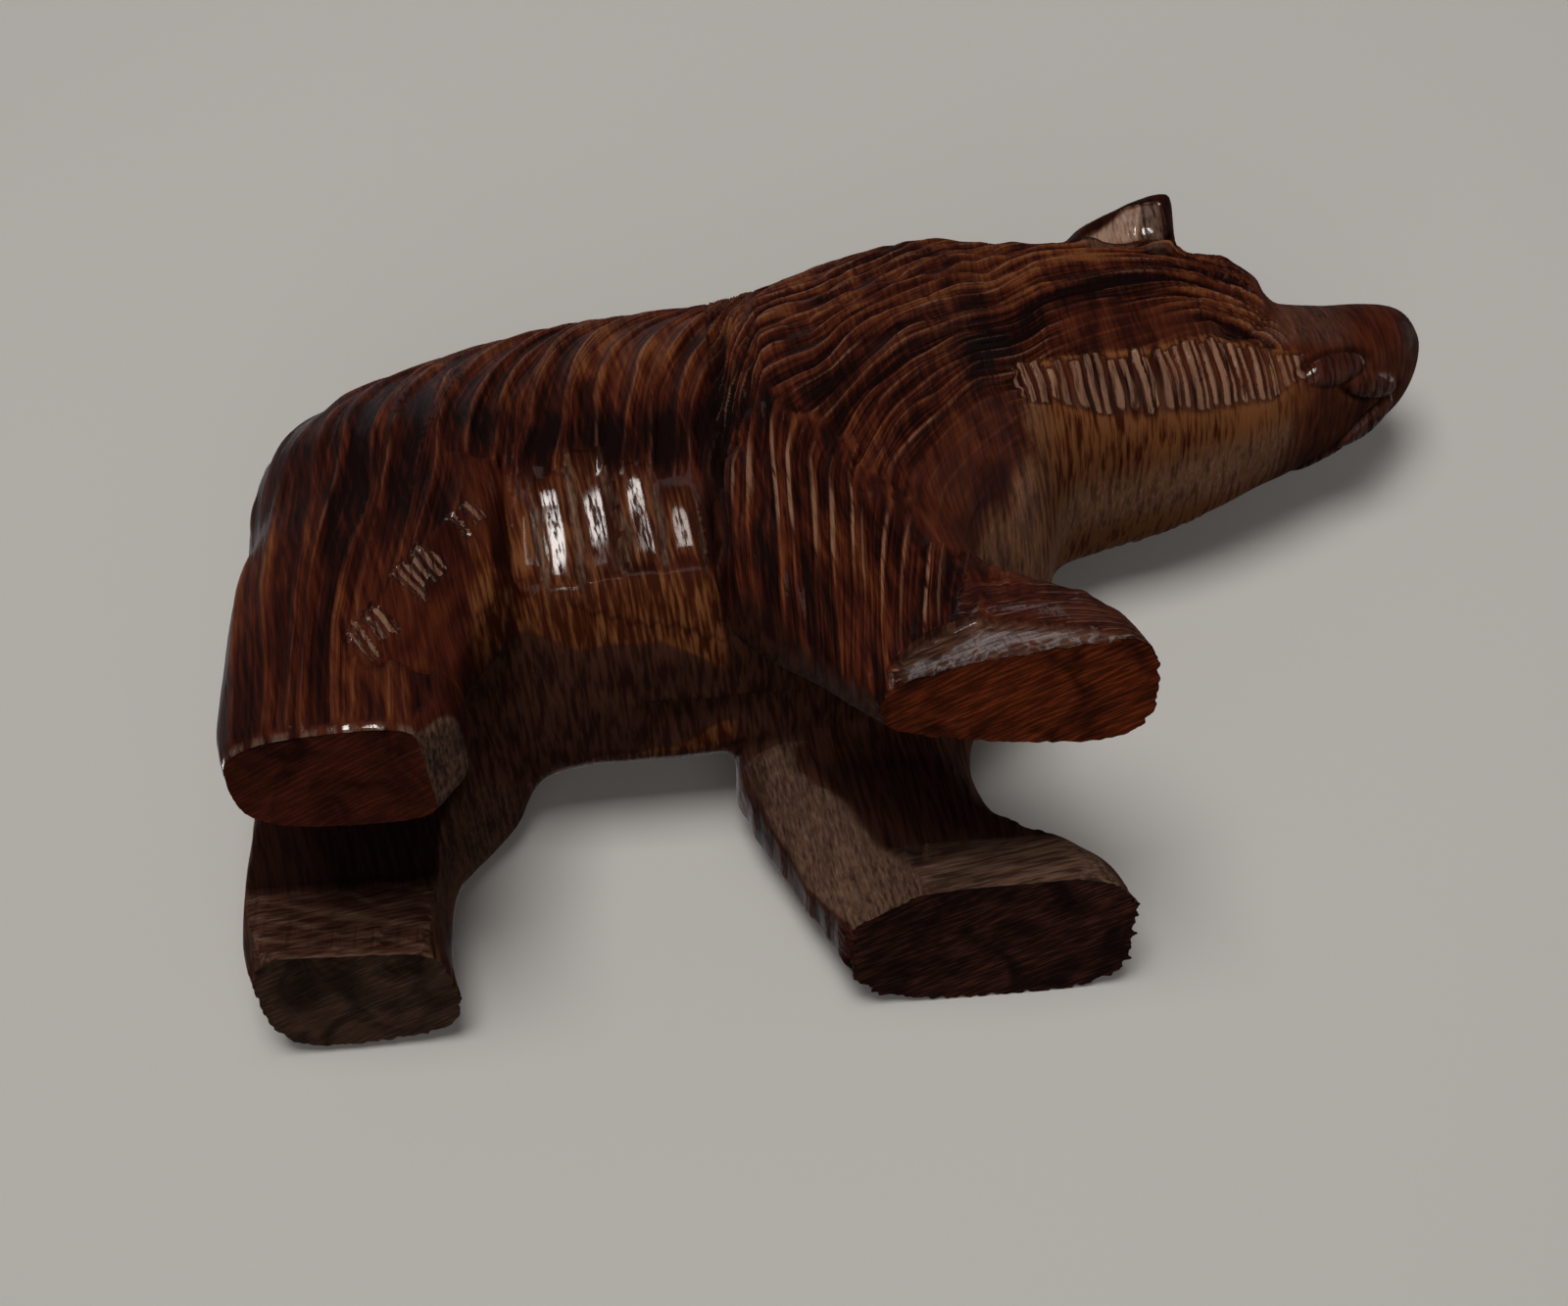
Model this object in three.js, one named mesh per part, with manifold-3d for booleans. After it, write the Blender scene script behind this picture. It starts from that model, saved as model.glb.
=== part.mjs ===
// A walking bear, carved in wood, built up from nine carved blocks: body, head, two ears, tail and four legs.
// Millimetres, +Z up, +X towards the nose, +Y to the bear's left. The four soles stand on Z = 0.
// Every block is a loft along the lines a carver draws on the blank: back, belly and plan for what runs
// along the body, and heel, toe, inside and outside for what stands upright.
import * as THREE from "three";
import { mergeVertices } from "three/addons/utils/BufferGeometryUtils.js";
import Module from "manifold-3d";

// Places along the body, counted forwards from the crease behind the shoulders
const RUMP_X = -65;
const CROUP_X = -50;
const LOIN_X = -28;
const SADDLE_X = -8;
const WITHERS_X = 4;
const HUMP_X = 18;
const CHEST_X = 29;
const NAPE_X = 34;
const FOREHEAD_X = 50;
const BROW_X = 58.5;
const STOP_X = 61;
const NOSE_X = 78.5;

// Heights above the soles
const RUMP_TOP = 54;
const CROUP_TOP = 67;
const LOIN_TOP = 74;
const SADDLE_TOP = 76;
const WITHERS_TOP = 80.5;
const HUMP_TOP = 83.5;
const NAPE_TOP = 81;
const FOREHEAD_TOP = 80.5;
const BROW_TOP = 77.5;
const MUZZLE_TOP = 71;
const CHIN_HEIGHT = 61;
const JAW_HEIGHT = 49;
const THROAT_HEIGHT = 45.5;
const CHEST_HEIGHT = 27;
const BELLY_HEIGHT = 22.5;
const RUMP_UNDER = 26;

// Full widths, without the swell of shoulder and haunch
const RUMP_WIDTH = 41;
const BARREL_WIDTH = 46;
const WITHERS_WIDTH = 47;
const CHEST_WIDTH = 42;
const NECK_WIDTH = 40;
const CHEEK_WIDTH = 35.5;
const BROW_WIDTH = 21.5;
const MUZZLE_WIDTH = 17;

// Over what length the ends of the body and the muzzle are rounded, and how far each section draws in there
const RUMP_ROUND = 13;
const CHEST_ROUND = 9;
const NOSE_ROUND = 7;
const NOSE_DRAW_IN = 4.2;
const NOSE_TAPER = 1;
const NECK_ROOT_DROP = 1;

// Muscles that swell out of the flanks, from where each starts to where it fades
const SHOULDER_SWELL = 7;
const SHOULDER_REACH = { start: -9, full: -4, past: 10, end: 27, low: 20, high: 44, top: 74 };
const HAUNCH_SWELL = 7.5;
const HAUNCH_REACH = { start: -72, full: -56, past: -45, end: -29, low: 20, high: 38, top: 66 };

// Legs. Sideways distances are from the middle of the body.
const FOREARM_OUTSIDE = 31.5;
const FOREARM_INSIDE = 10;
const FOREARM_HEIGHT = 21;
const FORELEG_TOP_OUTSIDE = 29.5;
const SHIN_OUTSIDE = 31;
const SHIN_INSIDE = 9;
const SHIN_HEIGHT = 24;
const HIND_LEG_TOP_OUTSIDE = 28.5;
const LEG_TOP = 43;
const LEG_CROWN = 11;
const LEG_CROWN_DRAW_IN = 8;

// The feet: heel and toe along the body, inside and outside edges from its middle, height over the toes,
// how far the sole stands out beyond the foot at that height, and by what share the toes are wider and the
// heel narrower than the middle.
// The legs: front where a leg leaves its foot, then rear and front where it meets the body. A hind leg's hip
// is its rear at the top, inside the rump.
const FORE_TOE_SLOPE = 2.5;
const HIND_TOE_SLOPE = 1;
const RIGHT_FORE_FOOT = {
  heel: 5.5, toe: 33.5, inside: 20.5, outside: 36.5, height: 9, flare: 3.6, taper: 0.38,
};
const RIGHT_FORELEG = { ankle: 21, rear: -10.5, front: 17 };
const LEFT_FORE_FOOT = { heel: 1, toe: 34.5, inside: 9.8, outside: 36.5, height: 5, flare: 1, taper: 0.05 };
const LEFT_FORELEG = { ankle: 19, rear: -11, front: 17 };
const RIGHT_HIND_FOOT = { heel: -62, toe: -40, inside: 15.5, outside: 33, height: 6, flare: 1, taper: 0.08 };
const RIGHT_HIND_LEG = { ankle: -38, rear: -63, front: -33, hip: -56 };
const LEFT_HIND_FOOT = { heel: -69, toe: -46, inside: 12, outside: 34.5, height: 6, flare: 1, taper: -0.08 };
const LEFT_HIND_LEG = { ankle: -46, rear: -69, front: -37, hip: -56 };

// Ears and tail
const EAR_X = 41.8;
const EAR_SPREAD = 12;
const EAR_LENGTH = 13.5;
const EAR_HEIGHT = 6;
const EAR_THICKNESS = 7;
const EAR_TIP_LENGTH = 2.4;
const EAR_TIP_THICKNESS = 1.8;
const EAR_LEAN = 28;
const EAR_ROOT = 5;
const EAR_HOLLOW_DEPTH = 2.4;
const EAR_HOLLOW_HEIGHT = 6.6;
const EAR_HOLLOW_MIDDLE = 1.8;
const EAR_HOLLOW_OUT = 2.9;
const EAR_RIM = 1.2;
const TAIL_HEIGHT = 34;
const TAIL_LENGTH = 12;
const TAIL_WIDTH = 9;
const TAIL_END_WIDTH = 6.3;
const TAIL_FULL_RISE = 3;
const TAIL_STAND_OUT = 4;
const TAIL_END_STAND_OUT = 2.4;
const TAIL_ROOT = 9;

// Joints between the blocks
const GLUE_GAP = 0.3;
const LEG_SEAM_DROP = 2;
const NECK_SEAM_X = 28;
const NECK_SEAM_LEAN = 10;
const EAR_SEAM_RISE = 0.8;
const TAIL_SEAM_OUT = 0.6;

// Roundness of the sections: 2 is an ellipse, and a higher power is squarer
const BACK_POWER = 2.2;
const BELLY_POWER = 3;
const MUSCLE_POWER = 4;
const JAW_POWER = 2.9;
const FOOT_POWER = 3.3;
const LEG_POWER = 2.7;

// Where a section is widest, as a share of its height
const BODY_WIDEST = 0.42;
const HEAD_WIDEST = 0.4;

// Fineness of the lofts
const BODY_POINTS = 40;
const HEAD_POINTS = 32;
const LEG_POINTS = 28;
const BODY_STEP = 2.5;
const HEAD_STEP = 2;
const LEG_STEP = 2.5;
const EAR_STEP = 1;
const TAIL_STEP = 1.5;
const SLOPE_STEP = 0.1;
const HOLLOW_SEGMENTS = 18;
const HOLLOW_RINGS = 12;

const WOOD_COLOUR = 0x5a2a12;
const CUTTER_SIZE = 400;

const { clamp, degToRad, smoothstep } = THREE.MathUtils;
const wasm = await Module();
wasm.setup();

// A smooth line through knots [position, value] that never swings past a knot.
function line(...knots) {
  const slopes = knots.map(([at, value], i) => {
    const before = i > 0 ? (value - knots[i - 1][1]) / (at - knots[i - 1][0]) : null;
    const after = i < knots.length - 1 ? (knots[i + 1][1] - value) / (knots[i + 1][0] - at) : null;
    if (before === null || after === null) return before ?? after;
    return before * after <= 0 ? 0 : (2 * before * after) / (before + after);
  });
  return (position) => {
    const last = knots.length - 2;
    const found = knots.findIndex((knot, k) => k > 0 && position <= knot[0]) - 1;
    const i = found < 0 ? last : found;
    const [[x0, y0], [x1, y1]] = [knots[i], knots[i + 1]];
    const span = x1 - x0;
    const t = clamp((position - x0) / span, 0, 1);
    const rise = t * t * (3 - 2 * t);
    const leave = t * (1 - t) * (1 - t) * span * slopes[i];
    const arrive = t * t * (t - 1) * span * slopes[i + 1];
    return y0 + (y1 - y0) * rise + leave + arrive;
  };
}

// How far a section draws in near a rounded end: nothing until "length" before it, "depth" at the end.
function rounding(position, end, length, depth = length) {
  const t = clamp(1 - Math.abs(end - position) / length, 0, 1);
  return depth * (1 - Math.sqrt(1 - t * t));
}

// Positions from start to end, at most "step" apart.
function stations(start, end, step) {
  const count = Math.ceil((end - start) / step);
  return Array.from({ length: count + 1 }, (_, i) => start + ((end - start) * i) / count);
}

// A round-cornered outline of the given number of points, one unit from its middle each way.
function unitRing(points, powerAbove, powerBelow = powerAbove) {
  return Array.from({ length: points }, (_, i) => {
    const angle = (2 * Math.PI * i) / points;
    const [c, s] = [Math.cos(angle), Math.sin(angle)];
    const power = 2 / (s >= 0 ? powerAbove : powerBelow);
    return [Math.sign(c) * Math.abs(c) ** power, Math.sign(s) * Math.abs(s) ** power];
  });
}

// A closed solid through rings of equally many points, capped at both ends.
function loft(rings) {
  const count = rings[0].length;
  const middles = [rings[0], rings[rings.length - 1]].map((ring) =>
    ring.reduce((sum, point) => sum.add(point), new THREE.Vector3()).divideScalar(count),
  );
  const points = [...rings.flat(), ...middles];
  const lastRing = (rings.length - 1) * count;
  const lastMiddle = points.length - 1;
  const faces = [];
  for (let i = 0; i < count; i++) {
    const next = (i + 1) % count;
    for (let start = 0; start < lastRing; start += count) {
      const [a, b] = [start + i, start + next];
      faces.push(a, b, a + count, b, b + count, a + count);
    }
    faces.push(lastMiddle - 1, next, i, lastMiddle, lastRing + i, lastRing + next);
  }
  const geometry = new THREE.BufferGeometry().setFromPoints(points);
  geometry.setIndex(faces);
  return solid(geometry);
}

// A three.js geometry as a solid that can be joined and cut, whichever way its faces were wound.
function solid(geometry) {
  const bare = new THREE.BufferGeometry().setAttribute("position", geometry.getAttribute("position"));
  bare.setIndex(geometry.index);
  const merged = mergeVertices(bare, 1e-4);
  const vertProperties = new Float32Array(merged.getAttribute("position").array);
  const triVerts = new Uint32Array(merged.index.array);
  const made = new wasm.Manifold(new wasm.Mesh({ numProp: 3, vertProperties, triVerts }));
  if (made.volume() > 0) return made;
  return new wasm.Manifold(new wasm.Mesh({ numProp: 3, vertProperties, triVerts: triVerts.reverse() }));
}

// Everything on one side of a plane: what lies beyond "point" in the direction "normal", moved on by "gap".
function beyond(point, normal, gap) {
  const box = new THREE.BoxGeometry(CUTTER_SIZE, CUTTER_SIZE, CUTTER_SIZE);
  const turn = new THREE.Quaternion().setFromUnitVectors(new THREE.Vector3(0, 0, 1), normal);
  const middle = point.clone().addScaledVector(normal, CUTTER_SIZE / 2 + gap);
  box.applyMatrix4(new THREE.Matrix4().compose(middle, turn, new THREE.Vector3(1, 1, 1)));
  return solid(box);
}

// Splits a solid at a plane into [beyond, behind], half a glue gap from it on each side.
function sawn(body, { point, normal }) {
  const back = normal.clone().negate();
  return [normal, back].map((way) => body.intersect(beyond(point, way, GLUE_GAP / 2)));
}

// A section across the body at x, from its top, underside and half width, which may change with height.
function crossSection(x, points, { top, under, half, widest, powerBelow }) {
  const level = under + (top - under) * widest;
  return unitRing(points, BACK_POWER, powerBelow).map(([c, s]) => {
    const z = level + s * (s >= 0 ? top - level : level - under);
    return new THREE.Vector3(x, half(z) * c, z);
  });
}

// The share of a muscle's swell, from 0 to 1, at a place along the flank and at a height on it.
function swellAlong(x, { start, full, past, end }) {
  return smoothstep(x, start, full) * (1 - smoothstep(x, past, end));
}

function swellUpright(z, { low, high, top }) {
  return smoothstep(z, 0, low) * (1 - smoothstep(z, high, top));
}

// The body: rump, barrel, shoulders and hump.
function bodyLoft() {
  const back = line(
    [RUMP_X, RUMP_TOP],
    [CROUP_X, CROUP_TOP],
    [LOIN_X, LOIN_TOP],
    [SADDLE_X, SADDLE_TOP],
    [WITHERS_X, WITHERS_TOP],
    [HUMP_X, HUMP_TOP],
    [CHEST_X, NAPE_TOP],
  );
  const belly = line(
    [RUMP_X, RUMP_UNDER],
    [LOIN_X, BELLY_HEIGHT],
    [SADDLE_X, BELLY_HEIGHT],
    [CHEST_X, CHEST_HEIGHT],
  );
  const half = line(
    [RUMP_X, RUMP_WIDTH / 2],
    [LOIN_X, BARREL_WIDTH / 2],
    [SADDLE_X, BARREL_WIDTH / 2],
    [HUMP_X, WITHERS_WIDTH / 2],
    [CHEST_X, CHEST_WIDTH / 2],
  );
  const rings = stations(RUMP_X, CHEST_X, BODY_STEP).map((x) => {
    const inset = rounding(x, RUMP_X, RUMP_ROUND) + rounding(x, CHEST_X, CHEST_ROUND);
    const shoulder = swellAlong(x, SHOULDER_REACH);
    const haunch = swellAlong(x, HAUNCH_REACH);
    const muscle = (z) =>
      SHOULDER_SWELL * shoulder * swellUpright(z, SHOULDER_REACH) +
      HAUNCH_SWELL * haunch * swellUpright(z, HAUNCH_REACH);
    return crossSection(x, BODY_POINTS, {
      top: back(x) - inset,
      under: belly(x) + inset,
      half: (z) => half(x) - inset + muscle(z),
      widest: BODY_WIDEST,
      powerBelow: THREE.MathUtils.lerp(BELLY_POWER, MUSCLE_POWER, shoulder + haunch),
    });
  });
  return loft(rings);
}

// Head and neck: forehead, brow step and muzzle above, throat and jaw below, cheeks in plan.
const headTop = line(
  [SADDLE_X, SADDLE_TOP - NECK_ROOT_DROP],
  [HUMP_X, HUMP_TOP - NECK_ROOT_DROP],
  [NAPE_X, NAPE_TOP],
  [FOREHEAD_X, FOREHEAD_TOP],
  [BROW_X, BROW_TOP],
  [STOP_X, MUZZLE_TOP],
  [NOSE_X, MUZZLE_TOP],
);
const headUnder = line(
  [SADDLE_X, THROAT_HEIGHT],
  [CHEST_X, THROAT_HEIGHT],
  [FOREHEAD_X, JAW_HEIGHT],
  [NOSE_X, CHIN_HEIGHT],
);
const headHalf = line(
  [SADDLE_X, NECK_WIDTH / 2],
  [CHEST_X, NECK_WIDTH / 2],
  [EAR_X, CHEEK_WIDTH / 2],
  [BROW_X, BROW_WIDTH / 2],
  [NOSE_X - NOSE_ROUND, MUZZLE_WIDTH / 2],
  [NOSE_X, MUZZLE_WIDTH / 2 - NOSE_TAPER],
);

function headLoft() {
  const rings = stations(SADDLE_X, NOSE_X, HEAD_STEP).map((x) => {
    const inset = rounding(x, NOSE_X, NOSE_ROUND, NOSE_DRAW_IN);
    return crossSection(x, HEAD_POINTS, {
      top: headTop(x) - inset,
      under: headUnder(x) + inset,
      half: () => headHalf(x) - inset,
      widest: HEAD_WIDEST,
      powerBelow: JAW_POWER,
    });
  });
  return loft(rings);
}

// The height of the head's upper surface at x, "aside" from the middle.
function headSurface(x, aside) {
  const [top, under] = [headTop(x), headUnder(x)];
  const level = under + (top - under) * HEAD_WIDEST;
  const share = 1 - (aside / headHalf(x)) ** BACK_POWER;
  return level + (top - level) * share ** (1 / BACK_POWER);
}

// A leg stands on its sole and ends in a rounded crown inside the body. side is -1 right, 1 left.
function legLoft(side, { rear, front, inside, outside, taper }) {
  const squareness = line([0, FOOT_POWER], [LEG_TOP, LEG_POWER]);
  const rings = stations(0, LEG_TOP, LEG_STEP).map((z) => {
    const inset = rounding(z, LEG_TOP, LEG_CROWN, LEG_CROWN_DRAW_IN);
    const [middleX, halfX] = [(front(z) + rear(z)) / 2, (front(z) - rear(z)) / 2 - inset];
    const [middleY, halfY] = [(outside(z) + inside(z)) / 2, (outside(z) - inside(z)) / 2 - inset];
    return unitRing(LEG_POINTS, squareness(z)).map(([c, s]) => {
      const aside = middleY + halfY * (1 + taper(z) * c) * s;
      return new THREE.Vector3(middleX + halfX * c, side * aside, z);
    });
  });
  return loft(rings);
}

function foreleg(side, foot, leg) {
  return legLoft(side, {
    rear: line([0, foot.heel], [FOREARM_HEIGHT, leg.rear]),
    front: line(
      [0, foot.toe],
      [foot.height, foot.toe - FORE_TOE_SLOPE],
      [(foot.height + FOREARM_HEIGHT) / 2, leg.ankle],
      [FOREARM_HEIGHT, leg.front],
    ),
    inside: line([0, foot.inside], [FOREARM_HEIGHT, FOREARM_INSIDE]),
    outside: line(
      [0, foot.outside],
      [foot.height, foot.outside - foot.flare],
      [FOREARM_HEIGHT, FOREARM_OUTSIDE],
      [LEG_TOP, FORELEG_TOP_OUTSIDE],
    ),
    taper: line([0, foot.taper], [FOREARM_HEIGHT, 0]),
  });
}

function hindLeg(side, foot, leg) {
  return legLoft(side, {
    rear: line(
      [0, foot.heel],
      [foot.height, foot.heel - foot.flare],
      [SHIN_HEIGHT, leg.rear],
      [LEG_TOP, leg.hip],
    ),
    front: line(
      [0, foot.toe],
      [foot.height, foot.toe - HIND_TOE_SLOPE],
      [(foot.height + SHIN_HEIGHT) / 2, leg.ankle],
      [SHIN_HEIGHT, leg.front],
    ),
    inside: line([0, foot.inside], [SHIN_HEIGHT, SHIN_INSIDE]),
    outside: line(
      [0, foot.outside],
      [foot.height, foot.outside - foot.flare],
      [SHIN_HEIGHT, SHIN_OUTSIDE],
      [LEG_TOP, HIND_LEG_TOP_OUTSIDE],
    ),
    taper: line([0, foot.taper], [SHIN_HEIGHT, 0]),
  });
}

// An ear: a fin with a curved back edge and a straight front edge, scooped out on its outer side.
function earSolid(side) {
  const rings = stations(-EAR_ROOT, EAR_HEIGHT, EAR_STEP).map((z) => {
    const t = clamp(z / EAR_HEIGHT, 0, 1);
    const halfX = THREE.MathUtils.lerp(EAR_LENGTH, EAR_TIP_LENGTH, t * t) / 2;
    const halfY = THREE.MathUtils.lerp(EAR_THICKNESS, EAR_TIP_THICKNESS, t) / 2;
    return unitRing(LEG_POINTS, LEG_POWER).map(
      ([c, s]) => new THREE.Vector3(EAR_LENGTH / 2 - halfX + halfX * c, halfY * s, z),
    );
  });
  const hollow = new THREE.SphereGeometry(1, HOLLOW_SEGMENTS, HOLLOW_RINGS);
  hollow.scale(EAR_LENGTH / 2 - EAR_RIM, EAR_HOLLOW_DEPTH, EAR_HOLLOW_HEIGHT / 2);
  hollow.rotateX(-Math.atan2((EAR_THICKNESS - EAR_TIP_THICKNESS) / 2, EAR_HEIGHT));
  hollow.translate(EAR_RIM, -EAR_HOLLOW_OUT, EAR_HOLLOW_MIDDLE);
  const fin = loft(rings).subtract(solid(hollow));
  const seat = earSeat(side);
  const place = new THREE.Matrix4().makeTranslation(seat.point);
  place.multiply(new THREE.Matrix4().makeRotationX(-side * degToRad(EAR_LEAN)));
  place.multiply(new THREE.Matrix4().makeScale(1, -side, 1));
  return fin.transform(place.elements);
}

// Where an ear stands on the head, and the way the head faces there.
function earSeat(side) {
  const height = headSurface(EAR_X, EAR_SPREAD);
  const forwards = headSurface(EAR_X + SLOPE_STEP, EAR_SPREAD) - height;
  const outwards = headSurface(EAR_X, EAR_SPREAD + SLOPE_STEP) - height;
  return {
    point: new THREE.Vector3(EAR_X, side * EAR_SPREAD, height),
    normal: new THREE.Vector3(-forwards, -side * outwards, SLOPE_STEP).normalize(),
  };
}

// A short tail that stands out furthest near its blunt lower end.
function tailSolid() {
  const standOut = line([0, TAIL_END_STAND_OUT], [TAIL_FULL_RISE, TAIL_STAND_OUT], [TAIL_LENGTH, 0]);
  const width = line([0, TAIL_END_WIDTH], [TAIL_FULL_RISE, TAIL_WIDTH], [TAIL_LENGTH, TAIL_END_WIDTH]);
  const rings = stations(0, TAIL_LENGTH, TAIL_STEP).map((z) => {
    const halfX = (standOut(z) + TAIL_ROOT) / 2;
    return unitRing(LEG_POINTS, LEG_POWER).map(
      ([c, s]) =>
        new THREE.Vector3(RUMP_X + TAIL_ROOT - halfX + halfX * c, (width(z) / 2) * s, TAIL_HEIGHT + z),
    );
  });
  return loft(rings);
}

// A finished block as a named mesh.
function block(name, body) {
  const { vertProperties, triVerts } = body.getMesh();
  const geometry = new THREE.BufferGeometry();
  geometry.setAttribute("position", new THREE.BufferAttribute(new Float32Array(vertProperties), 3));
  geometry.setIndex(new THREE.BufferAttribute(new Uint32Array(triVerts), 1));
  geometry.computeVertexNormals();
  const material = new THREE.MeshStandardMaterial({ color: WOOD_COLOUR, roughness: 0.38, metalness: 0 });
  const mesh = new THREE.Mesh(geometry, material);
  mesh.name = name;
  return mesh;
}

// Each leg is sawn level just under the belly: the foot end is its own block, the rest belongs to the body.
const legSeam = {
  point: new THREE.Vector3(0, 0, BELLY_HEIGHT - LEG_SEAM_DROP),
  normal: new THREE.Vector3(0, 0, 1),
};
const legs = {
  right_foreleg: foreleg(-1, RIGHT_FORE_FOOT, RIGHT_FORELEG),
  left_foreleg: foreleg(1, LEFT_FORE_FOOT, LEFT_FORELEG),
  right_hind_leg: hindLeg(-1, RIGHT_HIND_FOOT, RIGHT_HIND_LEG),
  left_hind_leg: hindLeg(1, LEFT_HIND_FOOT, LEFT_HIND_LEG),
};
let trunk = bodyLoft().add(headLoft());
const blocks = {};
for (const [name, leg] of Object.entries(legs)) {
  const [upper, lower] = sawn(leg, legSeam);
  trunk = trunk.add(upper);
  blocks[name] = lower;
}

// The neck is sawn across behind the cheeks.
const neckLean = degToRad(NECK_SEAM_LEAN);
const neckSeam = {
  point: new THREE.Vector3(NECK_SEAM_X, 0, (NAPE_TOP + THROAT_HEIGHT) / 2),
  normal: new THREE.Vector3(Math.cos(neckLean), 0, Math.sin(neckLean)),
};
let [head, body] = sawn(trunk, neckSeam);

// Each ear is sawn off just above the head, and its root stays with the head.
for (const [name, side] of [["right_ear", -1], ["left_ear", 1]]) {
  const { point, normal } = earSeat(side);
  const [ear, root] = sawn(earSolid(side), { point: point.addScaledVector(normal, EAR_SEAM_RISE), normal });
  blocks[name] = ear;
  head = head.add(root);
}

// The tail is sawn off just behind the rump.
const tailSeam = {
  point: new THREE.Vector3(RUMP_X - TAIL_SEAM_OUT, 0, TAIL_HEIGHT),
  normal: new THREE.Vector3(-1, 0, 0),
};
const [tail, tailRoot] = sawn(tailSolid(), tailSeam);
blocks.tail = tail;
blocks.body = body.add(tailRoot);
blocks.head = head;

// The origin is under the middle of the bear's box, on the soles.
const bear = new THREE.Group();
for (const [name, made] of Object.entries(blocks)) bear.add(block(name, made));
const box = new THREE.Box3().setFromObject(bear);
const middle = box.getCenter(new THREE.Vector3());
for (const mesh of bear.children) mesh.position.set(-middle.x, -middle.y, -box.min.z);

export default bear;
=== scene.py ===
# %% [markdown]
# # A walking bear, carved in wood
#
# The real bear is a small ornament cut from dark, lacquered wood. Its coat is nothing but gouge cuts: rows
# of hollows with crests between them. Belly, throat, muzzle and the insides of the legs are left smooth. We
# start from nine plain blocks at their real size, melt them into one blank, carve the blank as a carver
# would, and saw it back into the same nine pieces.

# %% Load the nine blocks
import math

import bmesh
import bpy
import numpy as np
from mathutils import Matrix, Vector


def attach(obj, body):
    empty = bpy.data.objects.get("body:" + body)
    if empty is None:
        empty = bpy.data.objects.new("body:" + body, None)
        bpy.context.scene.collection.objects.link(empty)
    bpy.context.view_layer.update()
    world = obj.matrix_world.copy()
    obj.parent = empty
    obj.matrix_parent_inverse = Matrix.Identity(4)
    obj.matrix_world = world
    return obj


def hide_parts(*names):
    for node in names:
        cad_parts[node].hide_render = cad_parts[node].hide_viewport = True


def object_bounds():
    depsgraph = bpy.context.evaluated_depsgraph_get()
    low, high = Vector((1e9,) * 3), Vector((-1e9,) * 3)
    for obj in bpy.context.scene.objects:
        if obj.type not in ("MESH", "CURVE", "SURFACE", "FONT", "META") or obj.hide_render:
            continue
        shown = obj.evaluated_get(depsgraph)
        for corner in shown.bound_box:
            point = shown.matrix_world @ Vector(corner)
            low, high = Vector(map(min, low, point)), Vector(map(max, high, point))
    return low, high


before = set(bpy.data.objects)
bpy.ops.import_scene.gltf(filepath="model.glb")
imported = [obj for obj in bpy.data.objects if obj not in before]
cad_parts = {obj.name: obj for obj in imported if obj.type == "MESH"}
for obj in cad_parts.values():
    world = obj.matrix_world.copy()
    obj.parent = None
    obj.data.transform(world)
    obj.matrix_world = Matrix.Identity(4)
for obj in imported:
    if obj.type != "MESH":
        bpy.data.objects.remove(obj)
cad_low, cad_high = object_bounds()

MM = 0.001
print("blocks:", ", ".join(sorted(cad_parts)))
print("box in mm:", [round((b - a) / MM, 1) for a, b in zip(cad_low, cad_high)])

# %% [markdown]
# ## The carver's zero
#
# A carver measures from marks on the blank, not from the middle of its box. Here x counts forwards from the
# crease behind the shoulders, y from the middle of the back towards the bear's left, and z up from the
# soles, all in millimetres. The nose and the ears tell where that zero is.

# %% Find the crease and the middle
CREASE_TO_NOSE = 78.5


def block_box(name):
    """The lowest and the highest corner of a block, in millimetres."""
    corners = np.array([v.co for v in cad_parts[name].data.vertices]) / MM
    return corners.min(0), corners.max(0)


CREASE_X = block_box("head")[1][0] - CREASE_TO_NOSE
MIDDLE_Y = (block_box("left_ear")[1][1] + block_box("right_ear")[0][1]) / 2
ZERO = Vector((CREASE_X, MIDDLE_Y, 0))
print("the carver's zero is at", [round(c, 2) for c in ZERO], "mm")

# %% [markdown]
# ## The camera
#
# The bear was photographed from above while it lay on its left side, so its right side, belly and soles
# show. We leave the bear standing and put the camera where that photographer would then be: to its right
# and below its soles, looking up. An orbit around one target point is easier to adjust than six loose
# numbers.

# %% Camera below the soles
LENS = 58.5
SENSOR = 36
VIEW_TARGET = (ZERO + Vector((-4, 0, 28))) * MM
VIEW_DISTANCE = 298 * MM
VIEW_BELOW = math.radians(35)
VIEW_ROLL = math.radians(-5)
CLIP_START = 0.01

towards_camera = Vector((0, -math.cos(VIEW_BELOW), -math.sin(VIEW_BELOW)))
camera_data = bpy.data.cameras.new("camera")
camera_data.lens = LENS
camera_data.sensor_width = SENSOR
camera_data.clip_start = CLIP_START
camera = bpy.data.objects.new("camera", camera_data)
bpy.context.scene.collection.objects.link(camera)
upright = Matrix((Vector((1, 0, 0)), towards_camera.cross(Vector((1, 0, 0))), towards_camera)).transposed()
rolled = Matrix.Rotation(VIEW_ROLL, 3, towards_camera) @ upright
camera.matrix_world = Matrix.Translation(VIEW_TARGET + towards_camera * VIEW_DISTANCE) @ rolled.to_4x4()
bpy.context.scene.camera = camera
bpy.context.scene.view_settings.view_transform = "Standard"
print("camera at", [round(c / MM) for c in camera.location], "mm")

# %% [markdown]
# ## The stage
#
# Two sheets of pale paper. One leans against the bear's left side: in the main view it is the ground that
# the bear lies on, and it is only as large as that view. The other is the ground under its soles, for every
# other view. Each sheet shows only its front, so neither gets in the way of a camera or lamp behind it.

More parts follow.
